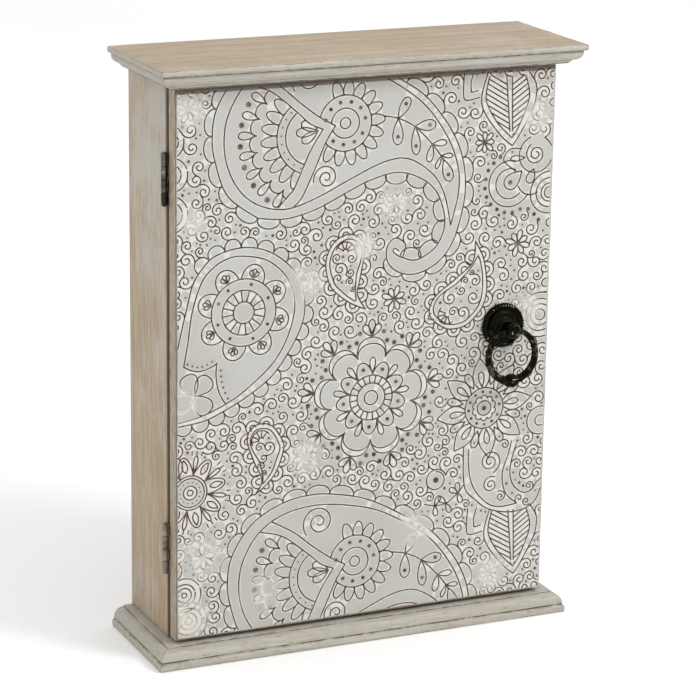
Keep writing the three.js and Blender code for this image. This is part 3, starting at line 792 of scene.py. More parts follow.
class Drawing:
    """Lines and pits on the door's face, with a grid that knows how far the nearest line is."""
    cell = 0.5
    sight = 6.0

    def __init__(self):
        self.strokes = []
        self.dots = []
        self.quiet = []
        self.columns = int(Door.width / self.cell) + 1
        self.rows = int(Door.height / self.cell) + 1
        self.gap = np.full((self.columns, self.rows), self.sight)
        self.near = np.zeros((self.columns, self.rows, 2))
        self.ox = -Door.width / 2
        self.veil = None

    def touch(self, x, z):
        reach = self.sight
        i0 = max(0, int((x - reach - self.ox) / self.cell))
        i1 = min(self.columns, int((x + reach - self.ox) / self.cell) + 2)
        j0 = max(0, int((z - reach) / self.cell))
        j1 = min(self.rows, int((z + reach) / self.cell) + 2)
        if i0 >= i1 or j0 >= j1:
            return
        gx = self.ox + np.arange(i0, i1)[:, None] * self.cell - x
        gz = np.arange(j0, j1)[None, :] * self.cell - z
        d = np.sqrt(gx * gx + gz * gz)
        window = self.gap[i0:i1, j0:j1]
        closer = d < window
        window[closer] = d[closer]
        self.near[i0:i1, j0:j1][closer] = (x, z)

    def nearest(self, x, z):
        i, j = round((x - self.ox) / self.cell), round(z / self.cell)
        if not (0 <= i < self.columns and 0 <= j < self.rows) or self.gap[i, j] >= self.sight:
            return self.sight, None
        px, pz = self.near[i, j]
        return math.hypot(px - x, pz - z), (px, pz)

    def line(self, points):
        edge = Door.width / 2 - Door.margin
        run = []
        for x, z in spaced(points, 0.4):
            if abs(x) <= edge and Door.margin <= z <= Door.height - Door.margin and not self.veiled(x, z):
                run.append((x, z))
            else:
                self.keep(run)
                run = []
        self.keep(run)

    def veiled(self, x, z):
        return self.veil is not None and self.veil[round((x - self.ox) / self.cell), round(z / self.cell)]

    def keep(self, run):
        if len(run) < 4:
            return
        self.strokes.append(run)
        for x, z in run[::2] + run[-1:]:
            self.touch(x, z)

    def shape(self, points):
        self.line(points + points[:1])
        self.quiet.append(points)

    def dot(self, x, z, r=0.8):
        if abs(x) < Door.width / 2 - r - Door.margin and r + Door.margin < z < Door.height - r - Door.margin:
            if self.veiled(x, z):
                return
            self.dots.append((x, z, r))
            for k in range(6):
                self.touch(*polar(x, z, r, 60 * k))

    # ---- motifs
    def scallops(self, path, chord, height, side=1, inner=0.0, skip=()):
        points = spaced(path, 0.5)
        count = max(1, round(len(points) * 0.5 / chord))
        marks = [points[round(k * (len(points) - 1) / count)] for k in range(count + 1)]
        for k, (p, q) in enumerate(zip(marks, marks[1:])):
            if k in skip or math.hypot(q[0] - p[0], q[1] - p[1]) < 1:
                continue
            big = lobe(p, q, height, side)
            self.line(big)
            self.quiet.append(big)
            if inner:
                ends = [((1 - f) * p[0] + f * q[0], (1 - f) * p[1] + f * q[1]) for f in (0.28, 0.72)]
                self.line(lobe(ends[0], ends[1], height * inner, side))

    def petals(self, x, z, r, length, width, angles, dotted=0.0):
        for a in angles:
            bx, bz = polar(x, z, r, a)
            half = min(width / 2, r * 0.9)
            f = math.radians(a)
            p = (bx + half * math.sin(f), bz - half * math.cos(f))
            q = (bx - half * math.sin(f), bz + half * math.cos(f))
            petal = lobe(p, q, length, -1, 0.12)
            self.line(petal)
            self.quiet.append(petal)
            if dotted:
                self.dot(*polar(x, z, r + length * 0.5, a), dotted)

    def ring_of_dots(self, x, z, r, count, size=0.8, start=0.0, end=360.0):
        for k in range(count):
            self.dot(*polar(x, z, r, start + (end - start) * k / count), size)

    def spokes(self, x, z, r0, r1, count):
        for k in range(count):
            a = 360 * (k + 0.3) / count
            self.line([polar(x, z, r0, a), polar(x, z, r1, a)])

    def tulip(self, x, z, angle, size, spread=36):
        for lean, k in ((-spread, 0.85), (0, 1.0), (spread, 0.85)):
            self.shape(drop(x, z, angle + lean, size * k, size * 0.42))

    def daisy(self, x, z, petals):
        for r in (2.9, 7.9, 14.8):
            self.line(arc(x, z, r))
        self.ring_of_dots(x, z, 11.3, 11, 1.2, 10)
        self.petals(x, z, 14.8, 7.8, 5.9, petals)

    def small_flower(self, x, z, size, count=8, start=0.0):
        for k in range(count):
            self.shape(drop(x, z, start + 360 * k / count, size * (1 if k % 2 else 0.85), size * 0.4))
        self.dot(x, z, 0.9)

    def inside(self, outlines):
        """Marks the cells that lie inside any of these outlines."""
        shut = np.zeros((self.columns, self.rows), bool)
        gx = self.ox + np.arange(self.columns) * self.cell
        gz = np.arange(self.rows) * self.cell
        for outline in outlines:
            xs, zs = [p[0] for p in outline], [p[1] for p in outline]
            i0, i1 = np.searchsorted(gx, (min(xs), max(xs)))
            j0, j1 = np.searchsorted(gz, (min(zs), max(zs)))
            if i0 >= i1 or j0 >= j1:
                continue
            x, z = gx[i0:i1][:, None], gz[j0:j1][None, :]
            hit = np.zeros((i1 - i0, j1 - j0), bool)
            for (x0, z0), (x1, z1) in zip(outline, outline[1:] + outline[:1]):
                if z0 == z1:
                    continue
                hit ^= ((z0 > z) != (z1 > z)) & (x < (x1 - x0) * (z - z0) / (z1 - z0) + x0)
            shut[i0:i1, j0:j1] |= hit
        return shut

    def fill(self, seed, largest=4.7, least=2.85, tries=15000):
        """Scrolls that grow from what is drawn already, the big ones first, then dots in what is left."""
        rng = random.Random(seed)
        shut = self.inside(self.quiet)
        half = Door.width / 2
        size = largest
        while size >= least:
            for _ in range(tries):
                x, z = rng.uniform(-half, half), rng.uniform(0, Door.height)
                hand = rng.choice((-1, 1))
                if shut[round((x - self.ox) / self.cell), round(z / self.cell)]:
                    continue
                d, p = self.nearest(x, z)
                if p is None or not size <= d <= size + 0.35:
                    continue
                angle = math.degrees(math.atan2(p[1] - z, p[0] - x))
                self.line(tendril(x, z, d, angle, 1.45 if d > 3 else 1.2, hand))
            size -= 0.35
        for _ in range(tries):
            x, z = rng.uniform(-half, half), rng.uniform(0, Door.height)
            if shut[round((x - self.ox) / self.cell), round(z / self.cell)]:
                continue
            if self.nearest(x, z)[0] > 1.75:
                self.dot(x, z, rng.uniform(0.65, 0.95))


# ------------------------------------------------------------------ motifs of the door
def half_daisy(d, x, z):
    """Rows of petals fanned to the left of a dotted collar."""
    d.line(arc(x, z, 15.5, 128, 262))
    d.line(arc(x, z, 20.3, 126, 258))
    d.ring_of_dots(x, z, 17.9, 9, 0.6, 134, 262)
    d.petals(x, z, 20.3, 9.0, 6.0, [137 + 15.7 * k for k in range(8)])
    marks = [polar(x, z, 31.6, 129 + 15.7 * k) for k in range(9)]
    for p, q in zip(marks, marks[1:]):
        d.line(lobe(p, q, 4.2, -1, 0.1))
    for k in range(1, 8):
        a = 129 + 15.7 * k
        d.shape(drop(*polar(x, z, 32.4, a), a, 9.2, 4.2))
        d.dot(*polar(x, z, 40.6, a + 8), 1.75)


PAISLEY_BACK = [
    (20.2, 197.7), (21.6, 204), (16, 208), (11.1, 204), (11.3, 195.5), (18.7, 188.9), (29.6, 187.8),
    (41.4, 193.3),
    (49.8, 204.3), (55.1, 223), (55.9, 236.3), (53.5, 249.6), (48.4, 261.4), (40.7, 272.6), (30, 284),
    (13.9, 294.3), (-2.4, 303.5), (-16, 308.6), (-37, 312.2), (-56.4, 309.6), (-73.7, 300.3), (-85, 284.3),
    (-87.8, 269.4), (-86.1, 256), (-79.2, 237.9), (-62.6, 225.1)]
PAISLEY_TAIL = [
    (-62.6, 225.1), (-47.2, 223.5), (-30, 227.2), (-12, 235.1), (0, 240), (16, 243.2), (30, 238.9),
    (39.8, 229.9),
    (44.3, 214.5), (39.9, 202), (28.6, 195.2), (19.5, 197.3), (14.6, 200.5), (15.3, 202.6), (17.8, 200.9)]
PAISLEY_INNER = [
    (47.8, 212.2), (51.9, 229.4), (51.3, 243.8), (44.4, 260.8), (30, 279.2), (8.3, 294), (-8.9, 301.4),
    (-34.1, 306), (-55, 303.5), (-70.1, 294.5), (-79.2, 279.5), (-81.3, 264), (-78.1, 249.6), (-70.6, 237.9),
    (-60, 231), (-46.6, 228.6), (-30, 233.1), (-9.9, 242.1), (9, 249.5), (23, 249.8), (36.9, 240.5),
    (43.9, 228.8), (47.8, 212.2)]
HEART_BAND = [
    [(-62.5, 299.9), (-49.9, 292.4), (-40, 284.1), (-29.5, 276.1), (-19.7, 270.4)],
    [(-19.7, 270.4), (-24.9, 262.1), (-30.2, 250.2), (-37.5, 235), (-42.6, 229.4)],
    [(-68.7, 294.9), (-55.7, 290.6), (-41, 278.8), (-34, 272.5), (-26.5, 269)],
    [(-26.5, 269), (-33.7, 257.9), (-41.8, 240.3), (-45, 236.3), (-51.4, 229.6)]]
# Each leaf of the sprig: where it leaves the stem, its angle, length, width and whether it holds a dot.
SPRIG_LEAVES = [
    (16, 271.7, 60, 12.4, 5.4, True), (16, 271.7, -90, 13.8, 6, True), (25.8, 266.8, 2, 12.1, 5.8, True),
    (25.8, 266.8, -86, 14.9, 5.2, True), (36, 256.8, 3, 8.4, 3.4, False), (36, 256.8, -101, 9.6, 4, False),
    (41.5, 250.2, -3, 6.6, 2.6, False), (41.5, 250.2, -115, 7.4, 2.4, False),
    (42.8, 248, -70, 12.5, 5.8, True)]


def big_paisley(d, dx, dz):
    back = moved(smooth(PAISLEY_BACK), dx, dz)
    tail = moved(smooth(PAISLEY_TAIL), dx, dz)
    inner = moved(smooth(PAISLEY_INNER), dx, dz)
    for path in (back, tail, inner):
        d.line(path)
    d.quiet.append(back + tail)
    d.scallops(back[30:], 13.6, 5.4, -1)
    d.scallops(tail[:90], 12.6, 5.4, -1)
    band = [moved(smooth(path), dx, dz) for path in HEART_BAND]
    for path in band:
        d.line(path)
    x, z = -32 + dx, 266 + dz
    heart = band[2] + band[3]
    room = d.inside([inner]) & d.inside([[(x - 90, z + 29)] + heart + [(x - 90, z - 37)]])
    d.veil = ~room
    half_daisy(d, x, z)
    d.tulip(x + 2.5, z + 2.4, 182, 12, 30)
    d.veil = d.inside([[(x - 90, z + 34)] + band[0] + band[1] + [(x - 90, z - 37)]]) | ~d.inside([inner])
    d.daisy(-14 + dx, 271.4 + dz, [239.5 + 20.5 * k for k in range(12)])
    d.veil = None
    d.line(scroll(-24.5 + dx, 243.4 + dz, 7.4, 196, 1.9, -1, 0.14))
    d.line(scroll(-35.3 + dx, 296.4 + dz, 9.8, 222, 2.0, -1, 0.14))
    d.line(smooth(moved([(8.3, 273.6), (16.2, 271.8), (25.8, 266.8), (36, 256.8), (41.2, 250.2),
                         (43, 247.5)], dx, dz)))
    for x, z, angle, length, width, dotted in SPRIG_LEAVES:
        d.shape(drop(x + dx, z + dz, angle, length, width))
        if dotted:
            d.dot(*polar(x + dx, z + dz, 0.7 * length, angle), 1.2)


def wheel_paisley(d):
    outer = smooth([
        (-108, 154), (-104.8, 168), (-101.7, 180.7), (-98.5, 192.7), (-93.8, 200.3), (-85.8, 207.3),
        (-70, 210.4),
        (-54.2, 206), (-40.9, 194), (-35.8, 178.1), (-39, 162.3), (-52.3, 142), (-68, 130.4), (-85.1, 122.1),
        (-94.7, 119.2), (-108, 117.9)])
    inner = smooth([
        (-103.3, 150.3), (-101, 162.9), (-98.5, 179.4), (-93.4, 194), (-87.7, 200.6), (-81.4, 204.4),
        (-72.5, 206),
        (-57.3, 202.5), (-45.9, 192.1), (-41.5, 178.1), (-44.7, 162.3), (-53.5, 147.1), (-69.6, 133.6),
        (-80.3, 127.5), (-93.6, 122.4), (-108, 119.7)])
    d.line(outer)
    d.line(inner)
    d.quiet.append(outer)
    d.scallops(outer[30:], 9.4, 5.6, 1)
    x, z = -70.2, 175.8
    for r in (5.8, 12, 18):
        d.line(arc(x, z, r))
    d.spokes(x, z, 5.8, 12, 16)
    for a in (74, 26, -29, -70, 240, 200, 157, 125):
        d.dot(*polar(x, z, 15.2, a), 1.0)
    for k in range(8):
        a = 29 + 45 * k
        d.petals(x, z, 17.4, 8.6, 12.6, [a])
        d.tulip(*polar(x, z, 18.8, a), a, 4.8, 34)
    d.line(smooth([(-103.3, 149.9), (-99, 147.6), (-94.1, 146.7), (-88, 148.4), (-84.6, 150.3)]))
    d.line(smooth([(-85.2, 149.6), (-85.5, 143.3), (-84.3, 135.7), (-81.3, 129.3), (-79.7, 127.7)]))
    for k in range(6):
        d.dot(-101.3 + 2.7 * k, 151.2 - 2.2 * math.sin(math.pi * k / 5), 0.75)
        d.dot(-82.9 + 0.16 * k * k, 146 - 3.1 * k, 0.85)
    for a in (48, 112, 205, -50):
        d.line(drop(-97.4, 133.7, a, 12.5, 10))


def rosette(d, x, z):
    for r in (3.9, 8.1, 12.4):
        d.line(arc(x, z, r))
    d.spokes(x, z, 8.1, 12.4, 20)
    d.petals(x, z, 12.2, 8.1, 8.6, [107 + 40 * k for k in range(9)], dotted=1.25)
    for k in range(9):
        a = 88 + 40 * k
        d.shape(drop(*polar(x, z, 14.0, a), a, 8.2, 3.4))
    marks = [polar(x, z, 23.3, 110 + 40 * k) for k in range(9)]
    whole = []
    for k, (p, q) in enumerate(zip(marks, marks[1:] + marks[:1])):
        d.line(lobe(p, q, 8.0, -1, 0.18))
        outside = lobe(p, q, 11.4, -1, 0.34)
        d.line(outside)
        whole += outside
        a = 130 + 40 * k
        d.tulip(*polar(x, z, 33.8, a), a, 9.2, 38)
        for lean, r in ((11, 36.5), (16, 32), (24, 32), (29, 36.5)):
            d.dot(*polar(x, z, r, a + lean), 1.45)
    d.quiet.append(whole)


def sunflower(d, x, z):
    d.dot(x, z, 1.6)
    d.line(arc(x, z, 4.1))
    marks = [polar(x, z, 5.9, 36 * k) for k in range(11)]
    for p, q in zip(marks, marks[1:]):
        d.line(lobe(p, q, 1.6, -1, 0.05))
    d.line(arc(x, z, 11.5))
    d.quiet.append(arc(x, z, 11.5))
    d.ring_of_dots(x, z, 9.3, 12, 0.95, 8)
    for k in range(8):
        a = 142 + 45 * k
        base = polar(x, z, 10.2, a)
        outline = [p for p in leaf(*base, a, 18.5, 10, 0.42) if math.hypot(p[0] - x, p[1] - z) > 11.5]
        d.line(outline)
        d.quiet.append(outline)
        d.shape(drop(*polar(x, z, 12.2, a), a, 8.4, 3.4))
        d.shape(drop(*polar(x, z, 13.2, a + 22.5), a + 22.5, 9.6, 4.4))
        d.dot(*polar(x, z, 20, a + 22.5), 0.7)


def veined_leaf(d, dx, dz):
    """A hanging leaf with a double edge, a midrib and slanting veins, beside half of another."""
    outer = [(67.4, 292), (64.2, 279.5), (66.8, 270.5), (76.4, 258.2), (83.2, 252.5), (87.6, 258.7),
             (95.1, 272.6),
             (96.7, 280.1), (96.2, 285.4), (92, 292)]
    inner = [(68.6, 290.5), (66.8, 281.7), (67.9, 275.3), (74.3, 265.1), (82.8, 256.8), (86.6, 262.5),
             (91.9, 275.3),
             (92.4, 282.2), (90, 290)]
    d.line(moved(smooth(outer[:5]), dx, dz))
    d.line(moved(smooth(outer[4:]), dx, dz))
    d.line(moved(smooth(inner[:5]), dx, dz))
    d.line(moved(smooth(inner[4:]), dx, dz))
    d.quiet.append(moved(outer, dx, dz))
    d.line(moved([(78.7, 290), (81.4, 260.5)], dx, dz))
    d.line(moved([(82, 290), (83, 260.5)], dx, dz))
    d.veil = ~d.inside([moved(inner, dx, dz)])
    for k in range(10):
        z = 285.5 - 3.0 * k
        d.line(moved([(79.3 + 0.27 * k, z), (65.3 + 0.27 * k, z + 8.4)], dx, dz))
        d.line(moved([(82.2 + 0.1 * k, z), (96.2 + 0.1 * k, z + 9.4)], dx, dz))
    d.veil = None
    d.line(smooth(moved([(54, 293.9), (53.5, 287), (54.5, 279), (63.1, 279.8)], dx, dz), 4))
    d.line(moved([(59.3, 293.9), (57.7, 288.1), (58, 282.7), (62, 283.5)], dx, dz))
    d.quiet.append(moved([(54, 293.9), (53.5, 287), (54.5, 279), (63.1, 279.8), (66, 290)], dx, dz))


def curl(d):
    outer = [(58.8, 88), (58.8, 80), (59.2, 70.6), (60.8, 62.7), (66.3, 57.2), (72.6, 51.7), (80.5, 48.5),
             (89.9, 47),
             (98.6, 48.5), (104.1, 52.5), (107.2, 60.3)]
    d.line(smooth(outer))
    d.line(smooth([(62, 86), (62, 80), (63.2, 69.8), (67.1, 61.1), (75, 53.2), (82.8, 50.9), (92.3, 51.7)]))
    d.line(smooth([(88, 88), (86, 80), (83.2, 72.1), (83.2, 64.3), (86, 57.2), (92.3, 51.7)]))
    d.line(smooth([(91, 86), (89.1, 80), (87.6, 72.1), (88.3, 65.8), (91.5, 60.3), (97, 57.2), (101.7, 58.8),
                   (104.1, 62.7)]))
    d.quiet.append([(58.8, 88)] + outer[1:8] + [(92.3, 51.7), (86, 57.2), (83.2, 68), (88, 86)])
    d.line(scroll(75, 77.6, 7, 290, 2.1, 1, 0.15))
    d.line(scroll(75.8, 64.3, 5, 60, 1.8, 1, 0.15))
    d.line(scroll(82, 56.9, 3.4, 120, 1.6, -1, 0.15))


def eyes_at_right(d):
    d.line(arc(82.4, 232, 12.6, 78, 330))
    d.line(arc(82.2, 232, 8.2, 66, 318))
    d.shape(drop(89.2, 238.4, 222, 12.5, 8.2))
    d.dot(82.6, 232.6, 1.5)
    d.quiet.append(arc(82.5, 232, 12.4))
    d.line(arc(97.5, 247, 10, -250, 60))
    d.line(scroll(97.5, 247, 6.2, 120, 1.9, 1, 0.2))
    d.line(smooth([(89, 250.4), (83, 251), (79.6, 248.6), (78.6, 244.3), (85.5, 238.7)]))
    d.shape(drop(91, 245.6, 182, 8.6, 3.2))
    d.line(arc(95, 233, 8.0, 200, 300))
    d.shape(drop(96.5, 239, 248, 8, 5))
    d.quiet.append(arc(97.5, 247, 10))
    for r in (3, 5, 8, 11.5):
        d.line(arc(106.3, 225.6, r, 90, 300))
    d.quiet.append(arc(106.3, 225.6, 11.5))
    chain = smooth([(76.3, 246.8), (69.5, 240.5), (67.6, 230.2), (71.4, 221.4), (81.3, 216), (90.3, 217.9),
                    (95.2, 216.4), (100.2, 210.9)])
    for x, z in spaced(chain, 4.9):
        d.dot(x, z, 1.25)


def edge_rings(d):
    for x, z, radii in ((-112, 268, (3, 6, 9)), (-110, 251, (2.6, 5.4, 9)), (-111, 230.5, (3.4, 7, 10)),
                        (-103.3, 25, (1.4, 4, 6.2, 9.4)), (-101, 10, (2, 4.8, 7.6, 10.6)),
                        (-110, 39, (2.4, 5.4)),
                        (105, 98, (3, 8)), (-110, 96, (3, 6)), (103, 158, (3, 6, 9, 12.5))):
        for k, r in enumerate(radii):
            d.line(arc(x, z, r, 10 * k, 350 + 10 * k))
        d.quiet.append(arc(x, z, radii[-1]))


def small_paisley(d, points, inner_tip, flower, facing, seed_side):
    outer = smooth(points)
    tip = points[0]
    cx = sum(p[0] for p in outer) / len(outer)
    cz = sum(p[1] for p in outer) / len(outer)
    reach = max(math.hypot(x - tip[0], z - tip[1]) for x, z in outer)
    inner = []
    for x, z in outer:
        r = math.hypot(x - cx, z - cz)
        away = math.hypot(x - tip[0], z - tip[1]) / reach
        k = (r - 2.6) / r
        px, pz = cx + (x - cx) * k, cz + (z - cz) * k
        share = max(0.0, 1 - away * 3)
        inner.append((px + (inner_tip[0] - px) * share, pz + (inner_tip[1] - pz) * share))
    d.line(outer)
    d.line(inner)
    d.scallops(outer[4:-4], 8.6, 4.8, seed_side, inner=0.5)
    fx, fz = flower
    for r in (1.5, 5.4):
        d.line(arc(fx, fz, r, facing - 85, facing + 85))
    for k in range(-2, 3):
        d.line([polar(fx, fz, 1.5, facing + 34 * k), polar(fx, fz, 5.4, facing + 34 * k)])
    for share, size, hand in ((0.42, 3.0, 1), (0.60, 2.6, -1), (0.75, 2.0, 1)):
        x = fx + (inner_tip[0] - fx) * share
        z = fz + (inner_tip[1] - fz) * share
        d.line(scroll(x + 0.6 * hand, z, size * 0.9, 200, 1.4, hand, 0.2))


def left_bloom(d, x, z):
    for r in (1.6, 3.8, 7.9):
        d.line(arc(x, z, r))
    d.quiet.append(arc(x, z, 9.4))
    d.ring_of_dots(x, z, 5.8, 14, 0.5)
    d.line(arc(x, z, 9.4))
    for k in range(8):
        a = 12 + 45 * k
        d.petals(x, z, 9.2, 10.8, 7.6, [a])
        d.shape(leaf(*polar(x, z, 11.2, a), a, 7.4, 3.2))
        d.shape(drop(*polar(x, z, 11.5, a + 22.5), a + 22.5, 8.6, 2.4))
        for lean in (15, 22.5, 30):
            d.line([polar(x, z, 20.6, a + lean), polar(x, z, 22.6, a + lean)])


# Where the wash has run into the lines and hides them: x, z and reach.
FADED = [(-101, 284, 12), (15, 227, 12), (-34, 93, 13), (-93, 45, 16), (-36, 188, 13), (76, 13, 13),
         (-100, 12, 14),
         (98, 268, 11), (-103, 130, 12), (-60, 20, 14), (30, 45, 13), (92, 160, 14), (-2, 205, 9),
         (-98, 226, 9)]


def draw_door(seed):
    d = Drawing()
    big_paisley(d, 0, 0)
    big_paisley(d, 8.9, -240.4)
    wheel_paisley(d)
    rosette(d, 3, 122)
    sunflower(d, 70.6, 108.7)
    veined_leaf(d, 0, 0)
    veined_leaf(d, 8.3, -241.7)
    curl(d)
    eyes_at_right(d)
    edge_rings(d)
    left_bloom(d, -99.9, 81.4)
    small_paisley(d, [(-1.1, 171.1), (-8.5, 174.3), (-15.8, 179.4), (-21.7, 186), (-24.2, 198.5),
                      (-19.5, 208.7),
                      (-10.7, 212.4), (-3.3, 208), (-2.2, 200.7), (-4.8, 186), (-5.9, 179.4), (-1.1, 171.1)],
                  (-7.4, 176.1), (-13, 203), 80, 1)
    small_paisley(d, [(62.8, 202.3), (61.5, 191), (52, 183), (39.2, 173.5), (36.6, 164), (44.3, 156.7),
                      (51, 155),
                      (59, 156.8), (67.5, 165), (70.3, 176), (68, 192), (62.8, 202.3)], (65, 193),
                      (47, 163.5), 220, -1)
    small_paisley(d, [(-63.2, 76), (-59.4, 83.4), (-64.2, 94.6), (-68, 106.9), (-63.7, 113.9), (-54.6, 113.3),
                      (-48.2, 104.8), (-47.2, 98.9), (-51.4, 87.2), (-57, 80.6), (-63.2, 76)],
                  (-58.4, 81.8), (-60, 105.5), 120, 1)
    for x, z, size, start in ((15.3, 226.7, 6.5, 10), (15.5, 175, 7.5, 25), (88, 199, 7.5, 30),
                              (66.8, 255.5, 6.5, 0),
                              (-35, 93, 8, 10), (76, 13, 6.5, 15), (-93, 45, 8, 5), (-101, 284, 7, 20)):
        d.small_flower(x, z, size, 8, start)
    d.line(scroll(42.5, 71, 6.4, 20, 1.2, 1, 0.75))
    d.dot(42.5, 71, 1.9)
    for x, z, a in ((56, 62, 150), (56, 62, 95), (56, 62, -70), (49, 57, 140), (49, 57, -65), (42, 56.5, 60),
                    (42, 56.5, -80)):
        d.shape(drop(x, z, a, 6, 3))
    d.line(smooth([(59, 66), (56, 62), (49, 57), (42, 56.5), (36, 58)]))
    d.fill(seed)
    return d


# ------------------------------------------------------------------ carved door
def stroke_outline(run, half):
    """The two banks of a groove with rounded ends, and its middle line."""
    middle = thinned(run)
    left, right = [], []
    for k, (x, z) in enumerate(middle):
        a, b = middle[max(0, k - 1)], middle[min(len(middle) - 1, k + 1)]
        tx, tz = b[0] - a[0], b[1] - a[1]
        length = math.hypot(tx, tz) or 1.0
        nx, nz = -tz / length * half, tx / length * half
        left.append((x + nx, z + nz))
        right.append((x - nx, z - nz))
    caps = []
    for end, before in ((middle[-1], middle[-2]), (middle[0], middle[1])):
        a = math.atan2(end[1] - before[1], end[0] - before[0])
        caps.append([(end[0] + half * math.cos(a + f), end[1] + half * math.sin(a + f)) for f in (0.8, 0,
                                                                                                  -0.8)])
    return middle, left + caps[0] + right[::-1] + caps[1]


def carved_face(drawing, width, depth, arris):
    """A flat sheet cut along every groove, then pressed down by the distance to the groove's middle."""
    half_x, height, half = Door.width / 2 - arris, Door.height, width / 2
    points, edges = [], []

    def chain(line, closed):
        first = len(points)
        points.extend(line)
        edges.extend((first + k, first + k + 1) for k in range(len(line) - 1))
        if closed:
            edges.append((first + len(line) - 1, first))

    pitch = 2.5
    across = [-half_x + 2 * half_x * k / round(2 * half_x / pitch) for k in range(round(2 * half_x / pitch))]
    rise = height - 2 * arris
    up = [arris + rise * k / round(rise / pitch) for k in range(round(rise / pitch))]
    rim = [(x, arris) for x in across] + [(half_x, z) for z in up]
    rim += [(-x, height - arris) for x in across] + [(-half_x, height - z) for z in up]
    chain(rim, True)
    tree_points = []
    for run in drawing.strokes:
        middle, banks = stroke_outline(run, half)
        chain(middle, False)
        chain(banks, True)
        tree_points += spaced(run, 0.22)
    for x, z, r in drawing.dots:
        points.append((x, z))
        for share in (1.0, 0.72) if r > 0.9 else (1.0,):
            chain([polar(x, z, r * share, 40 * k) for k in range(9)], True)
    for i in range(2, drawing.columns - 2, 5):
        for j in range(2, drawing.rows - 2, 5):
            if drawing.gap[i, j] > 1.15:
                points.append((drawing.ox + (i + (j // 5) % 2 * 0.5) * drawing.cell, j * drawing.cell))
    flat, _, faces = delaunay_2d_cdt([Vector(p) for p in points], edges, [], 0, 1e-5, False)[:3]
    lines = kdtree.KDTree(len(tree_points))
    for k, (x, z) in enumerate(tree_points):
        lines.insert((x, z, 0), k)
    lines.balance()
    pits = kdtree.KDTree(len(drawing.dots))
    for k, (x, z, r) in enumerate(drawing.dots):
        pits.insert((x, z, 0), k)
    pits.balance()
    verts, carve, halo, faded = [], [], [], []
    for p in flat:
        spot = (p[0], p[1], 0)
        away = lines.find(spot)[2]
        cut = max(0.0, 1 - (away / half) ** 2) if away < half * 0.96 else 0.0
        _, k, pit = pits.find(spot)
        r = drawing.dots[k][2]
        if pit < r * 0.96:
            cut = max(cut, 1 - (pit / r) ** 3)
        fade = max(max(0.0, 1 - math.hypot(p[0] - x, p[1] - z) / reach) for x, z, reach in FADED)
        fade = min(1.0, fade * 2.2)
        verts.append((p[0], depth * cut * (1 - 0.45 * fade), p[1]))
        carve.append(cut)
        # The mask for the painted highlight: 1 on a groove and beside its banks.
        halo.append(1.0 if cut > 0 or away < half * 1.05 else 0.0)
        faded.append(fade)
    return verts, faces, {"carve": carve, "halo": halo, "faded": faded}


def build_carved_door():
    s = sizes()
    drawing = draw_door(s.filler_seed)
    arris = s.door_arris / MM
    verts, faces, values = carved_face(drawing, s.groove_width / MM, s.groove_depth / MM, arris)
    low, high = Door.low, Door.high
    bm = bmesh.new()
    layers = {key: bm.verts.layers.float.new(key) for key in ("carve", "halo", "faded", "wear", "side")}
    middle_x = (low.x + high.x) / 2
    for k, (x, y, z) in enumerate(verts):
        v = bm.verts.new(((middle_x + x) * MM, (low.y + y) * MM, (low.z + z) * MM))
        for key, column in values.items():
            v[layers[key]] = column[k]
    bm.verts.ensure_lookup_table()
    for face in faces:
        bm.faces.new([bm.verts[i] for i in face])
    bm.normal_update()
    if sum(f.normal.y for f in bm.faces) > 0:
        bmesh.ops.reverse_faces(bm, faces=bm.faces)
    rng = random.Random(3)
    rim = [e for e in bm.edges if len(e.link_faces) == 1]
    for v in {v for e in rim for v in e.verts}:
        v[layers["wear"]] = 0.55
    thick = high.y - low.y
    rows = [(0.34 * arris, 0.10 * arris, 1.0), (0.08 * arris, 0.40 * arris, 1.0), (0.0, arris, 0.7),
            (0.0, 2.2 * arris, 0.0), (0.0, thick - arris, 0.1), (0.3 * arris, thick - 0.25 * arris, 0.7),
            (arris, thick, 0.3)]
    edges = rim
    place = {}
    for edge in rim:
        for v in edge.verts:
            place[v] = v.co.copy()
    for inset, deep, wear in rows:
        made = bmesh.ops.extrude_edge_only(bm, edges=edges)["geom"]
        fresh = [g for g in made if isinstance(g, bmesh.types.BMVert)]
        edges = [g for g in made if isinstance(g, bmesh.types.BMEdge)]
        for v in fresh:
            x, z = v.co.x / MM - middle_x, v.co.z / MM - low.z
            sx = 1 if x > Door.width / 2 - 1.01 * arris else -1 if x < -Door.width / 2 + 1.01 * arris else 0
            sz = 1 if z > Door.height - 1.01 * arris else -1 if z < 1.01 * arris else 0
            shift = rng.uniform(0, 0.16) * (1 if wear > 0.6 else 0)
            if sx:
                x = sx * (Door.width / 2 - inset - shift)
            if sz:
                z = Door.height / 2 + sz * (Door.height / 2 - inset - shift)
            v.co = ((middle_x + x) * MM, (low.y + deep) * MM, (low.z + z) * MM)
            v[layers["wear"]] = wear
            v[layers["side"]] = 1.0 if deep > 0.3 * arris else 0.0
            for key in ("carve", "halo", "faded"):
                v[layers[key]] = 0.0
    bmesh.ops.contextual_create(bm, geom=edges)
    obj = object_of("carved_door_panel", bm, 50, outward=True)
    finish_piece(obj, "door", "carved_paint", ["door_panel"])


# ------------------------------------------------------------------ moulded boards
def quarter(cx, cz, rx, rz, start, end, steps=7):
    return [(cx + rx * math.cos(math.radians(start + (end - start) * k / steps)),
             cz + rz * math.sin(math.radians(start + (end - start) * k / steps))) for k in range(steps + 1)]


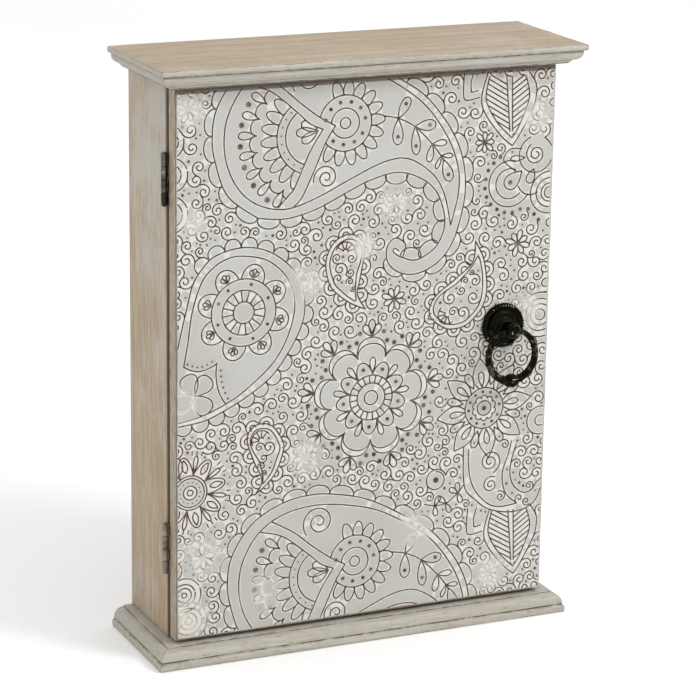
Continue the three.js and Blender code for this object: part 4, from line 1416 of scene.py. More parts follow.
def crown_profile():
    """Inset, height over the underside and wear, from the neck up to the top. A wear of 2 also marks a crease
    painted dark: painted shade under the crown and under its steps.
    """
    edge = [(30, 0, 0), (7.9, 0, 0), (7.62, 0.1, 2), (7.3, 0.45, 2), (7.0, 0.8, 0.3), (6.5, 1.5, 0.4),
            (6.42, 1.8, 2)]
    edge += [(x, z, 0.15) for x, z in quarter(6.4, 6.5, 4.4, 4.5, 270, 180, 8)]
    edge += [(2.0, 6.9, 2), (1.75, 7.15, 2), (1.4, 7.3, 0.4), (0.7, 7.45, 0.6), (0.2, 7.9, 1.0),
             (0.02, 8.8, 0.35),
             (0.02, 9.9, 0.5), (0.2, 10.6, 1.0), (0.55, 10.92, 1.0), (1.1, 11, 0.9), (3.2, 11, 0.35),
             (9, 11, 0.0),
             (30, 11, 0.0)]
    return edge


def plinth_profile():
    # A wear of 2 also marks a crease painted dark: painted shade under the plinth's steps.
    edge = [(30, 0, 0), (0.9, 0, 0.4), (0.25, 0.25, 1.0), (0.02, 0.9, 0.5), (0, 2.2, 0.1), (0.05, 3.3, 0.6),
            (0.35, 3.95, 0.9), (0.85, 4.2, 0.8), (1.1, 4.4, 2), (1.15, 4.75, 2), (1.15, 5.2, 0.2)]
    edge += [(x, z, 0.25) for x, z in quarter(6.6, 5.6, 5.4, 4.9, 180, 96, 8)]
    edge += [(6.35, 10.52, 2), (6.5, 10.62, 2), (6.56, 11.0, 0.7), (6.75, 11.2, 1.0), (7.1, 11.25, 0.8),
             (8.5, 11.25, 0.2), (16, 11.25, 0.1), (30, 11.25, 0.0)]
    return edge


def ring_points(half_x, front, back, inset, pitch=3.0, corner=12.0):
    """One level of a board's edge: left side, front, right side and the straight back."""
    depth = back - front
    along_y = [back - (depth - corner) * k / round((depth - corner) / pitch)
               for k in range(round((depth - corner) / pitch) + 1)]
    run = 2 * (half_x - corner)
    along_x = [-half_x + corner + run * k / round(run / pitch) for k in range(round(run / pitch) + 1)]
    near = (2.4, 0.5)
    limit, lip = half_x - inset, front + inset
    left = [(-limit, max(lip + near[0], y)) for y in along_y]
    left += [(-limit, lip + d) for d in near] + [(-limit, lip)]
    left += [(-limit + d, lip) for d in reversed(near)]
    right = [(-x, y) for x, y in reversed(left)]
    reach = limit - near[0]
    return left + [(max(-reach, min(reach, x)), lip) for x in along_x] + right


def weather_tree():
    """Pushes worn arrises in and out a little, where the wear attribute says so."""
    tree, given, out = geometry_tree("weather", [("Amount", "NodeSocketFloat", 0.00012),
                                                 ("Scale", "NodeSocketFloat", 180.0),
                                                 ("Material", "NodeSocketMaterial", None)])
    rough = node(tree, "ShaderNodeTexNoise", {"noise_dimensions": "4D"}, W=3.7, Scale=given["Scale"])
    swing = minus(tree, rough.outputs[0], 0.72)
    push = times(tree, times(tree, swing, given["Amount"]), named(tree, "FLOAT", "wear"))
    offset = node(tree, "ShaderNodeVectorMath", {"operation": "SCALE"})
    feed(tree, offset.inputs[0], tree.nodes.new("GeometryNodeInputNormal").outputs[0])
    feed(tree, offset.inputs["Scale"], push)
    pushed = node(tree, "GeometryNodeSetPosition", Geometry=given["Geometry"], Offset=offset.outputs[0])
    close_tree(tree, given, out, pushed.outputs[0])
    return tree


def moulded_board(name, source, profile, tree):
    low, high = (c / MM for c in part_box(source))
    half_x = (high.x - low.x) / 2
    bm = bmesh.new()
    wear = bm.verts.layers.float.new("wear")
    crease = bm.verts.layers.float.new("crease")
    rings = []
    for inset, z, rub in profile:
        ring = []
        for x, y in ring_points(half_x, low.y, high.y, inset):
            v = bm.verts.new((x * MM, y * MM, (low.z + z) * MM))
            corner = max(0.0, 1 - (half_x - inset - abs(x) + y - low.y - inset) / 2.4)
            v[wear] = max(min(rub, 1.0) * 0.9, 0.9 * corner if rub > 0.3 else 0.0)
            # The crease layer: painted shade where the profile's wear is above 1, and the dark mitre lines at
            # the front corners.
            v[crease] = 1.0 if rub > 1 or corner > 0.99 and z < profile[-1][1] - 0.1 else 0.0
            ring.append(v)
        rings.append(ring)
    for lower, upper in zip(rings, rings[1:]):
        for k in range(len(lower)):
            j = (k + 1) % len(lower)
            bm.faces.new((lower[k], lower[j], upper[j], upper[k]))
    bm.faces.new(rings[0])
    bm.faces.new(rings[-1])
    bmesh.ops.remove_doubles(bm, verts=bm.verts, dist=1e-6)
    bmesh.ops.recalc_face_normals(bm, faces=bm.faces)
    shaded(bm, 40)
    mesh = bpy.data.meshes.new(name)
    bm.to_mesh(mesh)
    bm.free()
    obj = grown(name, tree, mesh, Amount=0.0009, Scale=190.0, Material=bpy.data.materials["limed_trim"])
    finish_piece(obj, "carcass", "limed_trim", [source])


def build_moulded_boards():
    tree = weather_tree()
    moulded_board("crown_moulding", "crown_board", crown_profile(), tree)
    moulded_board("plinth_moulding", "plinth_board", plinth_profile(), tree)


# ------------------------------------------------------------------ plain boards
def build_boards():
    ease = sizes().board_arris
    for side in ("left", "right"):
        board = eased_copy(f"side_{side}", f"side_board_{side}", ease, 0.02)
        finish_piece(board, "carcass", f"side_{side}", [f"side_board_{side}"])
    finish_piece(eased_copy("back_board", "back_panel", 0.0003, 0.02), "carcass", "back_ply",
                 ["back_panel"])
    for row in ("upper", "lower"):
        rail = eased_copy(f"rail_{row}", f"hook_rail_{row}", 0.0007, 0.008)
        finish_piece(rail, "carcass", "rail_wood", [f"hook_rail_{row}"])
    for name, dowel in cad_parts.items():
        if name.startswith("crown_dowel"):
            dowel.data.materials.clear()
            dowel.data.materials.append(bpy.data.materials["rail_wood"])


# ------------------------------------------------------------------ hinges
def eased_block(low, high, width):
    solid = Solid()
    solid.block(low, high)
    bm = bmesh_of(solid)
    eased(bm, width)
    return bm


def merged(bm, other):
    mesh = bpy.data.meshes.new("part")
    other.to_mesh(mesh)
    other.free()
    bm.from_mesh(mesh)
    bpy.data.meshes.remove(mesh)


def hinge_leaf(end, side):
    """A plate and two rolled knuckles: the first and third on the frame's leaf, the others on the door's."""
    source = f"hinge_{end}_{side}_leaf"
    low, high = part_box(source)
    pin = sum(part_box(f"hinge_{end}_pin"), Vector()) / 2
    barrel = (low.x + 0.0016, pin.y)
    bottom, top = (corner.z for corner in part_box(f"hinge_{end}_frame_leaf"))
    plate_y = (pin.y + 0.00008, pin.y + 0.00098) if side == "frame" else (pin.y - 0.00098, pin.y - 0.00008)
    bm = eased_block((barrel[0] + 0.0018, plate_y[0], bottom), (high.x, plate_y[1], top), 0.00018)
    gap, r, lip = 0.2, 1.6, 0.22
    pitch = ((top - bottom) / MM + gap) / 4
    for k in range(0 if side == "frame" else 1, 4, 2):
        z0, z1 = k * pitch, (k + 1) * pitch - gap
        solid = Solid()
        profile = [(0.95, z0), (r - lip, z0), (r - 0.3 * lip, z0 + 0.3 * lip), (r, z0 + lip), (r, z1 - lip),
                   (r - 0.3 * lip, z1 - 0.3 * lip), (r - lip, z1), (0.95, z1), (0.95, z0)]
        solid.turned(profile, (barrel[0], barrel[1], bottom), Z_AXIS, 28)
        merged(bm, bmesh_of(solid))
        merged(bm, eased_block((barrel[0] + 0.0003, plate_y[0], bottom + z0 * MM),
                               (barrel[0] + 0.0024, plate_y[1], bottom + z1 * MM), 0.00012))
    return object_of(f"hinge_{end}_{side}", bm, 40)


def hinge_pin(end):
    low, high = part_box(f"hinge_{end}_pin")
    centre = (low + high) / 2
    length = (high.z - low.z) / MM
    r = (high.x - low.x) / 2 / MM
    solid = Solid()
    solid.turned([(0, 0), (r * 0.7, 0.02), (r * 0.95, 0.2), (r, 0.45), (r, 0.6), (r * 0.76, 0.62),
                  (r * 0.76, length - 0.62), (r, length - 0.6), (r, length - 0.4), (r * 0.9, length - 0.15),
                  (r * 0.55, length - 0.02), (0, length)], (centre.x, centre.y, low.z), Z_AXIS, 24)
    return object_of(f"hinge_{end}_axle", bmesh_of(solid), 40)


def build_hinges():
    # Both hinges are the same hardware: the upper takes the darker nickel, the lower a paler copy, so their
    # difference is painted reflection.
    for end, finish in (("upper", "nickel"), ("lower", "nickel_washed")):
        for side, body in (("frame", "carcass"), ("door", "door")):
            finish_piece(hinge_leaf(end, side), body, finish, [f"hinge_{end}_{side}_leaf"])
        finish_piece(hinge_pin(end), "carcass", finish, [f"hinge_{end}_pin"])


# ------------------------------------------------------------------ screws
def screw_model():
    """A countersunk cross-head screw, head radius 1 mm, length 4 mm, the head's top at height 0."""
    solid = Solid()
    thread = []
    for k in range(9):
        z = -3.5 + 0.3 * k
        thread += [(0.36, z), (0.50, z + 0.12)]
    solid.turned([(0, -4), (0.12, -3.95), (0.34, -3.6)] + thread + [(0.48, -0.5), (0.98, -0.04), (1.0, 0.0),
                 (0.93, 0.05), (0.5, 0.10), (0, 0.11)], (0, 0, 0), Z_AXIS, 20)
    screw = object_of("screw_model", bmesh_of(solid), 30)
    cross = Solid()
    cross.block((-0.52 * MM, -0.1 * MM, -0.3 * MM), (0.52 * MM, 0.1 * MM, 0.4 * MM))
    cross.block((-0.1 * MM, -0.521 * MM, -0.31 * MM), (0.1 * MM, 0.521 * MM, 0.41 * MM))
    cutter = object_of("cross_cutter", bmesh_of(cross), 30)
    for obj in (screw, cutter):
        bpy.context.scene.collection.objects.link(obj)
    cut = screw.modifiers.new("cross", "BOOLEAN")
    cut.operation, cut.solver, cut.object, cut.use_self = "DIFFERENCE", "EXACT", cutter, True
    plain_mesh(screw)
    bpy.data.objects.remove(cutter)
    return screw


def screw_tree():
    tree, given, out = geometry_tree("screws", [("Screw", "NodeSocketObject", None),
                                                ("Material", "NodeSocketMaterial", None)])
    model = node(tree, "GeometryNodeObjectInfo", Object=given["Screw"])
    spun = tree.nodes.new("FunctionNodeAxisAngleToRotation")
    feed(tree, spun.inputs["Axis"], (0.0, 0.0, 1.0))
    feed(tree, spun.inputs["Angle"], named(tree, "FLOAT", "spin"))
    aimed = tree.nodes.new("FunctionNodeAlignRotationToVector")
    aimed.axis = "Z"
    feed(tree, aimed.inputs["Rotation"], spun.outputs[0])
    feed(tree, aimed.inputs["Vector"], named(tree, "FLOAT_VECTOR", "facing"))
    placed = node(tree, "GeometryNodeInstanceOnPoints", Points=given["Geometry"],
                  Instance=model.outputs["Geometry"],
                  Rotation=aimed.outputs[0], Scale=named(tree, "FLOAT_VECTOR", "size"))
    close_tree(tree, given, out, placed.outputs[0])
    return tree


def screws(name, nodes, facing, head, body, finish, model, tree):
    """All screws of one kind on one body. Their CAD nodes' boxes give the places of their heads."""
    rng = random.Random(len(name))
    facing = Vector(facing)
    mesh = bpy.data.meshes.new(name)
    places, stretch = [], []
    for source in nodes:
        low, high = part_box(source)
        centre, half = (low + high) / 2, (high - low) / 2
        reach = sum(abs(a * b) for a, b in zip(half, facing))
        length = 2 * reach / MM / 4
        places.append(centre + facing * (reach - 0.00012 * length))
        stretch.append((head, head, length))
    mesh.from_pydata(places, [], [])
    for label, kind, column in (("facing", "FLOAT_VECTOR", [tuple(facing)] * len(places)),
                                ("size", "FLOAT_VECTOR", stretch),
                                ("spin", "FLOAT", [rng.uniform(0, 1.5) for _ in places])):
        made = mesh.attributes.new(label, kind, "POINT")
        made.data.foreach_set("value" if kind == "FLOAT" else "vector", np.array(column, np.float32).ravel())
    obj = grown(name, tree, mesh, Screw=model, Material=bpy.data.materials[finish])
    finish_piece(obj, body, finish, nodes)


def build_screws():
    model, tree = screw_model(), screw_tree()
    nodes = sorted(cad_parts)
    for side, body, facing in (("frame", "carcass", -Y_AXIS), ("door", "door", Y_AXIS)):
        chosen = [n for n in nodes if f"_{side}_screw" in n and n.startswith("hinge")]
        screws(f"hinge_screws_{side}", chosen, facing, 1.55, body, "nickel", model, tree)
    for start, facing, head, body in (("plinth_screw", -Z_AXIS, 3.4, "carcass"),
                                      ("catch_screw", -X_AXIS, 2.3, "carcass"),
                                      ("hanger_left_screw", Y_AXIS, 2.6, "carcass"),
                                      ("hanger_right_screw", Y_AXIS, 2.6, "carcass"),
                                      ("strike_screw", Y_AXIS, 1.9, "door")):
        chosen = [n for n in nodes if n.startswith(start)]
        screws(f"{start}s", chosen, facing, head, body, "zinc", model, tree)
    bpy.data.objects.remove(model)


# ------------------------------------------------------------------ ring pull
def rope_tree():
    """Slanted beads round a circle in the XZ plane."""
    tree, given, out = geometry_tree("rope_rim",
                                     [("Radius", "NodeSocketFloat", 0.0118), ("Beads", "NodeSocketInt", 56),
                                                  ("Bead Size", "NodeSocketVector", (0.0007, 0.0013, 0.0008)),
                                                  ("Slant", "NodeSocketFloat", 0.6),
                                                  ("Material", "NodeSocketMaterial", None)])
    circle = node(tree, "GeometryNodeMeshCircle", Vertices=given["Beads"], Radius=given["Radius"])
    ball = node(tree, "GeometryNodeMeshUVSphere", Segments=10, Rings=8, Radius=1.0)
    top = node(tree, "ShaderNodeSeparateXYZ",
               Vector=tree.nodes.new("GeometryNodeInputPosition").outputs[0]).outputs[2]
    # The beads' crests are marked for a lighter colour: partly rubbed metal, partly painted highlight.
    crest = sums(tree, "POWER", sums(tree, "MAXIMUM", top, 0.0), 3.0)
    bead = stored(tree, ball.outputs[0], "ridge", crest)
    index = tree.nodes.new("GeometryNodeInputIndex").outputs[0]
    round_ = times(tree, sums(tree, "DIVIDE", index, given["Beads"]), 2 * math.pi)
    lean = tree.nodes.new("FunctionNodeAxisAngleToRotation")
    feed(tree, lean.inputs["Axis"], (0.0, 0.0, 1.0))
    feed(tree, lean.inputs["Angle"], plus(tree, round_, given["Slant"]))
    placed = node(tree, "GeometryNodeInstanceOnPoints", Points=circle.outputs[0], Instance=bead,
                  Rotation=lean.outputs[0], Scale=given["Bead Size"])
    smooth_ = node(tree, "GeometryNodeSetShadeSmooth", Geometry=placed.outputs[0])
    close_tree(tree, given, out, smooth_.outputs[0])
    return tree


def ring_tree():
    """A fluted wire swept round a circle, thin in the eye, thicker below, with a ribbed bead at the foot."""
    tree, given, out = geometry_tree("fluted_ring", [
        ("Ring Radius", "NodeSocketFloat", 0.0139), ("Wire Top", "NodeSocketFloat", 0.0012),
        ("Wire Bottom", "NodeSocketFloat", 0.0021), ("Bead Radius", "NodeSocketFloat", 0.0038),
        ("Bead Half", "NodeSocketFloat", 0.0048), ("Flutes", "NodeSocketInt", 11),
        ("Flute Depth", "NodeSocketFloat", 0.13), ("Material", "NodeSocketMaterial", None)])
    path = node(tree, "GeometryNodeCurvePrimitiveCircle", Resolution=240, Radius=given["Ring Radius"])
    share = tree.nodes.new("GeometryNodeSplineParameter").outputs["Factor"]
    wave = sums(tree, "SINE", times(tree, share, math.pi))
    spread = minus(tree, given["Wire Bottom"], given["Wire Top"])
    wire = plus(tree, given["Wire Top"], times(tree, spread, sums(tree, "POWER", wave, 0.8)))
    along = times(tree, times(tree, sums(tree, "ABSOLUTE", minus(tree, share, 0.5)),
                                        2 * math.pi), given["Ring Radius"])
    inside = sums(tree, "MAXIMUM", 0.0, minus(tree, 1.0,
                                             sums(tree, "POWER",
                                                  sums(tree, "DIVIDE", along, given["Bead Half"]), 2.0)))
    bead = times(tree, given["Bead Radius"], sums(tree, "SQRT", inside))
    neck = sums(tree, "DIVIDE", sums(tree, "ABSOLUTE", minus(tree, along, sums(
        tree, "MULTIPLY", given["Bead Half"], 1.1))), 0.0009)
    collar = times(tree, sums(tree, "MAXIMUM", 0.0, minus(tree, 1.0, neck)), 0.0006)
    width = sums(tree, "MAXIMUM", plus(tree, wire, collar), bead)
    sized = node(tree, "GeometryNodeSetCurveRadius", Curve=path.outputs[0], Radius=width)
    section = node(tree, "GeometryNodeCurvePrimitiveCircle", Resolution=66, Radius=1.0)
    part = tree.nodes.new("GeometryNodeSplineParameter").outputs["Factor"]
    cycle = times(tree, times(tree, part, given["Flutes"]), 2 * math.pi)
    hollow = times(tree, given["Flute Depth"], sums(tree, "POWER", sums(
        tree, "ABSOLUTE", sums(tree, "SINE", times(tree, cycle, 0.5))), 1.6))
    shrink = node(tree, "ShaderNodeVectorMath", {"operation": "SCALE"})
    feed(tree, shrink.inputs[0], tree.nodes.new("GeometryNodeInputPosition").outputs[0])
    feed(tree, shrink.inputs["Scale"], minus(tree, 1.0, hollow))
    # The flutes' crests are marked for a lighter colour: partly rubbed metal, partly painted highlight.
    crest = sums(tree, "POWER", minus(tree, 1.0, sums(tree, "DIVIDE", hollow, given["Flute Depth"])), 4.0)
    marked = stored(tree, section.outputs[0], "ridge", crest)
    fluted = node(tree, "GeometryNodeSetPosition", Geometry=marked, Position=shrink.outputs[0])
    swept = node(tree, "GeometryNodeCurveToMesh", Curve=sized.outputs[0], Profile_Curve=fluted.outputs[0])
    if "Scale" in swept.inputs:
        feed(tree, swept.inputs["Scale"], tree.nodes.new("GeometryNodeInputRadius").outputs[0])
    smooth_ = node(tree, "GeometryNodeSetShadeSmooth", Geometry=swept.outputs[0])
    close_tree(tree, given, out, smooth_.outputs[0])
    return tree


def outward(mesh):
    bm = bmesh.new()
    bm.from_mesh(mesh)
    bmesh.ops.recalc_face_normals(bm, faces=bm.faces)
    bm.to_mesh(mesh)
    bm.free()


def build_ring_pull():
    s = sizes()
    bronze = bpy.data.materials["bronze"]
    low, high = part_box("pull_rosette")
    centre, rim = (low + high) / 2, (high.x - low.x) / 2 / MM
    face = Vector((centre.x, high.y, centre.z))
    solid = Solid()
    solid.turned([(2.0, 0.05), (rim - 1.2, 0.05), (rim - 0.4, 0.2), (rim - 0.12, 0.7), (rim - 0.3, 1.3),
                  (rim - 0.8, 2.0),
                  (rim - 1.5, 2.5), (rim - 2.1, 2.6), (rim - 2.5, 2.35), (rim - 3.2, 1.9), (8.2, 1.75),
                  (7.4, 1.95),
                  (6.9, 2.3), (6.5, 2.35), (6.3, 2.6), (5.9, 3.3), (5.2, 4.0), (4.6, 4.35), (3.4, 4.5),
                  (2.0, 4.5),
                  (2.0, 0.05)], face, -Y_AXIS, 96)
    disc = object_of("pull_disc", bmesh_of(solid), 32)
    finish_piece(disc, "door", "bronze", ["pull_rosette"])

    beads = round(2 * math.pi * (rim - 1.15) * MM / s.rope_bead)
    rope = grown("pull_rope", rope_tree(), bpy.data.meshes.new("pull_rope"), Radius=(rim - 1.2) * MM,
                 Beads=beads,
                 Bead_Size=(0.00115, 0.00056, 0.0009), Slant=0.75, Material=bronze)
    aim = Matrix.Translation(face - Y_AXIS * 0.00225) @ Matrix.Rotation(math.pi / 2, 4, "X")
    rope.data.transform(aim)
    outward(rope.data)
    finish_piece(rope, "door", "bronze")

    low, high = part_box("pull_post")
    middle = (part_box("pull_ring")[0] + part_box("pull_ring")[1]) / 2
    pivot = Vector((centre.x, middle.y, centre.z))
    reach = (face.y - low.y) / MM
    solid = Solid()
    back = -(high.y - face.y) / MM
    solid.turned([(0, back), (1.5, back), (1.9, back + 0.4), (1.9, 4.4), (4.3, 4.45), (4.5, 4.7), (4.5, 5.2),
                  (4.2, 5.6),
                  (3.5, 6.2), (3.25, 7.0), (3.3, 7.6), (3.7, 8.2), (4.05, 9.0), (4.2, 10.2), (4.2, 13.0),
                  (4.1, 14.0),
                  (3.75, 14.8), (3.2, 15.3), (2.5, 15.55), (2.3, 15.6), (2.2, 15.95), (1.9, reach),
                  (1.6, reach),
                  (1.45, 15.9), (1.2, 15.75), (0, 15.7)], face, -Y_AXIS, 56)
    stud = bmesh_of(solid)
    ridge = stud.verts.layers.float.new("ridge")
    # The stud's end rim is marked for the same lighter colour: painted highlight and rubbed metal.
    for v in stud.verts:
        v[ridge] = 0.5 if face.y - v.co.y > 0.01593 else 0.0
    post = object_of("pull_stud", stud, 32)
    hole = Solid()
    hole.turned([(0, -8), (2.05, -8), (2.05, 8), (0, 8)], pivot, X_AXIS, 28)
    cutter = object_of("eye_cutter", bmesh_of(hole), 32)
    for obj in (post, cutter):
        bpy.context.scene.collection.objects.link(obj)
    cut = post.modifiers.new("eye", "BOOLEAN")
    cut.operation, cut.solver, cut.object = "DIFFERENCE", "EXACT", cutter
    plain_mesh(post)
    bpy.data.objects.remove(cutter)
    finish_piece(post, "door", "bronze", ["pull_post"])

    ring = grown("pull_hoop", ring_tree(), bpy.data.meshes.new("pull_hoop"), Flutes=s.flutes,
                 Flute_Depth=s.flute_depth, Material=bronze)
    radius = 0.0139
    stand = Matrix.Translation(pivot - Z_AXIS * radius) @ Matrix.Rotation(math.pi / 2, 4, "X")
    ring.data.transform(stand @ Matrix.Rotation(math.pi / 2, 4, "Z"))
    outward(ring.data)
    finish_piece(ring, "ring", "bronze", ["pull_ring"])

    washer = eased_copy("pull_shim", "pull_washer", 0.00012, 0.0, 50)
    finish_piece(washer, "door", "zinc", ["pull_washer"])
    nut = eased_copy("pull_hex_nut", "pull_nut", 0.0002, 0.002, 50)
    finish_piece(nut, "door", "zinc", ["pull_nut"])


# ------------------------------------------------------------------ key hooks
def hook_tree():
    """One bent wire with its collar, set at every point."""
    tree, given, out = geometry_tree("hooks",
                                     [("Path", "NodeSocketObject", None),
                                      ("Collar", "NodeSocketObject", None),
                                               ("Wire", "NodeSocketFloat", 0.0011),
                                               ("Material", "NodeSocketMaterial", None)])
    path = node(tree, "GeometryNodeObjectInfo", Object=given["Path"])
    collar = node(tree, "GeometryNodeObjectInfo", Object=given["Collar"])
    section = node(tree, "GeometryNodeCurvePrimitiveCircle", Resolution=14, Radius=given["Wire"])
    curve = node(tree, "GeometryNodeMeshToCurve", Mesh=path.outputs["Geometry"])
    wire = node(tree, "GeometryNodeCurveToMesh", Curve=curve.outputs[0], Profile_Curve=section.outputs[0],
                Fill_Caps=True)
    smooth_ = node(tree, "GeometryNodeSetShadeSmooth", Geometry=wire.outputs[0])
    whole = tree.nodes.new("GeometryNodeJoinGeometry")
    feed(tree, whole.inputs[0], smooth_.outputs[0])
    feed(tree, whole.inputs[0], collar.outputs["Geometry"])
    placed = node(tree, "GeometryNodeInstanceOnPoints", Points=given["Geometry"], Instance=whole.outputs[0])
    close_tree(tree, given, out, placed.outputs[0])
    return tree


def hook_path():
    """The wire in the YZ plane from inside the rail: a tight bend down, round the cup and up to the tip."""
    points = [(4.0, 0.0), (-2.5, 0.0)]
    points += [(-2.5 - 2 * math.sin(math.radians(a)),
                -2 + 2 * math.cos(math.radians(a))) for a in range(15, 91, 15)]
    points += [(-10.5 + 6 * math.cos(math.radians(a)),
                -2 - 6 * math.sin(math.radians(a))) for a in range(12, 181, 12)]
    points += [(-16.5, 1.0), (-16.5, 3.4), (-16.6, 4.0)]
    mesh = bpy.data.meshes.new("hook_path")
    mesh.from_pydata([(0, y * MM, z * MM) for y, z in points], [(k, k + 1) for k in range(len(points) - 1)],
                     [])
    return bpy.data.objects.new("hook_path", mesh)


def build_hooks():
    solid = Solid()
    solid.turned([(0, -0.5), (3.2, 0.06), (3.2, 0.25), (3.0, 0.6), (2.2, 1.05), (1.4, 1.35), (1.1, 1.6),
                  (0, 1.6)],
                 (0, 0, 0), -Y_AXIS, 28)
    path, collar = hook_path(), object_of("hook_collar", bmesh_of(solid), 34)
    for obj in (path, collar):
        bpy.context.scene.collection.objects.link(obj)
    nodes = [n for n in sorted(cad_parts) if n.startswith("key_hook")]
    places = []
    for source in nodes:
        low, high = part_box(source)
        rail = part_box("hook_rail_upper" if "upper" in source else "hook_rail_lower")[0]
        places.append(((low.x + high.x) / 2, rail.y, low.z + 0.0091))
    mesh = bpy.data.meshes.new("key_hooks")
    mesh.from_pydata(places, [], [])
    hooks = grown("key_hooks", hook_tree(), mesh, Path=path, Collar=collar, Wire=0.0011,
                  Material=bpy.data.materials["brass"])
    for obj in (path, collar):
        bpy.data.objects.remove(obj)
    outward(hooks.data)
    finish_piece(hooks, "carcass", "brass", nodes)


# ------------------------------------------------------------------ catch, bumpers, hangers
def build_fittings():
    for name, source, width, body, slot, finish in (
            ("catch_shell", "catch_case", 0.0004, "carcass", "white_plastic", "catch_plastic"),
            ("catch_core", "catch_magnet", 0.0003, "carcass", "ferrite", "ferrite_block"),
            ("catch_pole_in", "catch_pole_inner", 0.0002, "carcass", "zinc_steel", "zinc"),
            ("catch_pole_out", "catch_pole_outer", 0.0002, "carcass", "zinc_steel", "zinc"),
            ("strike", "strike_plate", 0.0002, "door", "zinc_steel", "zinc"),
            ("hanger_plate_left", "hanger_left", 0.00015, "carcass", "zinc_steel", "zinc"),
            ("hanger_plate_right", "hanger_right", 0.00015, "carcass", "zinc_steel", "zinc")):
        finish_piece(eased_copy(name, source, width, 0.0006), body, finish, [source])
    for end in ("lower", "upper"):
        low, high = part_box(f"door_bumper_{end}")
        centre = (low + high) / 2
        solid = Solid()
        solid.turned([(0, 0), (3.4, 0), (3.5, 0.2), (3.4, 0.7), (3.0, 1.2), (2.2, 1.5), (1.1, 1.6), (0, 1.6)],
                     (centre.x, low.y, centre.z), Y_AXIS, 36)
        bumper = object_of(f"bumper_{end}", bmesh_of(solid), 50)
        finish_piece(bumper, "door", "rubber", [f"door_bumper_{end}"])


# ------------------------------------------------------------------ stage
CAMERA = {"azimuth": -24.40, "elevation": 15.665, "distance": 1.55123, "roll": 0.81,
          "target": (-0.00166, -0.00872, 0.15759), "lens": 150.1}


def build_stage():
    scene = bpy.context.scene
    scene.view_settings.view_transform = "Standard"
    solid = Solid()
    solid.add([(-4, -4, 0), (4, -4, 0), (4, 4, 0), (-4, 4, 0)], [(0, 1, 2, 3)])
    floor = object_of("studio_floor", bmesh_of(solid))

    def pale(tree, place, shader):
        tone = ramp(tree, noise(tree, place, 1.5, 2.0), 0.3, 0.7)
        feed(tree, shader.inputs["Base Color"], blend(tree, tone, (0.93, 0.93, 0.93), (0.95, 0.95, 0.95)))
        shader.inputs["Roughness"].default_value = 0.9
    floor.data.materials.append(material("pale_floor", pale))
    scene.collection.objects.link(floor)
    world = bpy.data.worlds.new("soft_studio")
    world.use_nodes = True
    world.node_tree.nodes["Background"].inputs["Color"].default_value = (1, 1, 1, 1)
    world.node_tree.nodes["Background"].inputs["Strength"].default_value = 1.0
    scene.world = world
    centre = Vector(CAMERA["target"])
    for name, place, power, spread in (("key", (1.1, -1.3, 1.7), 22, 0.6),):
        data = bpy.data.lights.new(name, "AREA")
        data.energy, data.size = power, spread
        lamp = bpy.data.objects.new(name, data)
        lamp.location = place
        lamp.rotation_euler = (centre - Vector(place)).to_track_quat("-Z", "Y").to_euler()
        scene.collection.objects.link(lamp)
    az, el = math.radians(CAMERA["azimuth"]), math.radians(CAMERA["elevation"])
    back = Vector((math.sin(az) * math.cos(el), -math.cos(az) * math.cos(el), math.sin(el)))
    data = bpy.data.cameras.new("studio_camera")
    data.lens = CAMERA["lens"]
    data.sensor_width = 36
    data.clip_start, data.clip_end = 0.05, 20
    camera = bpy.data.objects.new("studio_camera", data)
    camera.location = centre + back * CAMERA["distance"]
    look = (-back).to_track_quat("-Z", "Y").to_matrix().to_4x4()
    look = look @ Matrix.Rotation(math.radians(CAMERA["roll"]), 4, "Z")
    camera.rotation_euler = look.to_euler()
    scene.collection.objects.link(camera)
    scene.camera = camera


# ------------------------------------------------------------------ operators and panel
class CABINET_OT_materials(bpy.types.Operator):
    """Make the wood, paint and metal finishes"""
    bl_idname = "cabinet.materials"
    bl_label = "Finishes"

    def execute(self, context):
        build_materials()
        return {"FINISHED"}


class CABINET_OT_stage(bpy.types.Operator):
    """Make the floor, lights and camera"""
    bl_idname = "cabinet.stage"
    bl_label = "Stage"

    def execute(self, context):
        build_stage()
        return {"FINISHED"}


class CABINET_OT_carved_door(bpy.types.Operator):
    """Carve the door panel"""
    bl_idname = "cabinet.carved_door"
    bl_label = "Carved door"

    def execute(self, context):
        build_carved_door()
        return {"FINISHED"}


class CABINET_OT_moulded_boards(bpy.types.Operator):
    """Make the crown and plinth mouldings"""
    bl_idname = "cabinet.moulded_boards"
    bl_label = "Crown and plinth"

    def execute(self, context):
        build_moulded_boards()
        return {"FINISHED"}


class CABINET_OT_boards(bpy.types.Operator):
    """Make the side boards, back panel and hook rails"""
    bl_idname = "cabinet.boards"
    bl_label = "Boards"

    def execute(self, context):
        build_boards()
        return {"FINISHED"}


class CABINET_OT_hinges(bpy.types.Operator):
    """Make the two butt hinges"""
    bl_idname = "cabinet.hinges"
    bl_label = "Hinges"

    def execute(self, context):
        build_hinges()
        return {"FINISHED"}


class CABINET_OT_screws(bpy.types.Operator):
    """Set every screw"""
    bl_idname = "cabinet.screws"
    bl_label = "Screws"

    def execute(self, context):
        build_screws()
        return {"FINISHED"}


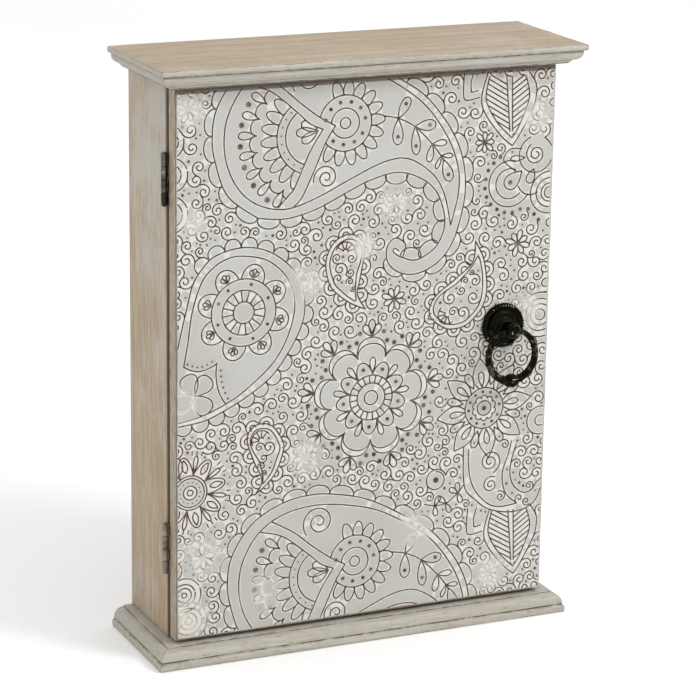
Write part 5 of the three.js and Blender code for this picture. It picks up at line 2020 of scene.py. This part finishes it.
class CABINET_OT_ring_pull(bpy.types.Operator):
    """Make the rosette, stud and fluted ring"""
    bl_idname = "cabinet.ring_pull"
    bl_label = "Ring pull"

    def execute(self, context):
        build_ring_pull()
        return {"FINISHED"}


class CABINET_OT_hooks(bpy.types.Operator):
    """Bend the six key hooks"""
    bl_idname = "cabinet.hooks"
    bl_label = "Key hooks"

    def execute(self, context):
        build_hooks()
        return {"FINISHED"}


class CABINET_OT_fittings(bpy.types.Operator):
    """Make the magnetic catch, bumpers and wall hangers"""
    bl_idname = "cabinet.fittings"
    bl_label = "Catch, bumpers and hangers"

    def execute(self, context):
        build_fittings()
        return {"FINISHED"}


OPERATORS = (CABINET_OT_materials, CABINET_OT_stage, CABINET_OT_carved_door, CABINET_OT_moulded_boards,
             CABINET_OT_boards, CABINET_OT_hinges, CABINET_OT_screws, CABINET_OT_ring_pull, CABINET_OT_hooks,
             CABINET_OT_fittings)


class CABINET_PT_panel(bpy.types.Panel):
    bl_idname = "CABINET_PT_panel"
    bl_label = "Carved key cabinet"
    bl_space_type = "VIEW_3D"
    bl_region_type = "UI"
    bl_category = "Cabinet"

    def draw(self, context):
        for group_ in (context.scene.cabinet_sizes, context.scene.cabinet_colours):
            box = self.layout.box()
            for key in group_.bl_rna.properties.keys():
                if key not in ("rna_type", "name"):
                    box.prop(group_, key)
        for operator in OPERATORS:
            self.layout.operator(operator.bl_idname)


CLASSES = (CabinetSizes, CabinetColours) + OPERATORS + (CABINET_PT_panel,)


def register():
    for cls in CLASSES:
        bpy.utils.register_class(cls)
    bpy.types.Scene.cabinet_sizes = bpy.props.PointerProperty(type=CabinetSizes)
    bpy.types.Scene.cabinet_colours = bpy.props.PointerProperty(type=CabinetColours)


def unregister():
    del bpy.types.Scene.cabinet_colours
    del bpy.types.Scene.cabinet_sizes
    for cls in reversed(CLASSES):
        bpy.utils.unregister_class(cls)


def main():
    register()
    for step in ("materials", "stage", "carved_door", "moulded_boards", "boards", "hinges", "screws",
                 "ring_pull",
                 "hooks", "fittings"):
        getattr(bpy.ops.cabinet, step)()


if __name__ == "__main__":
    main()
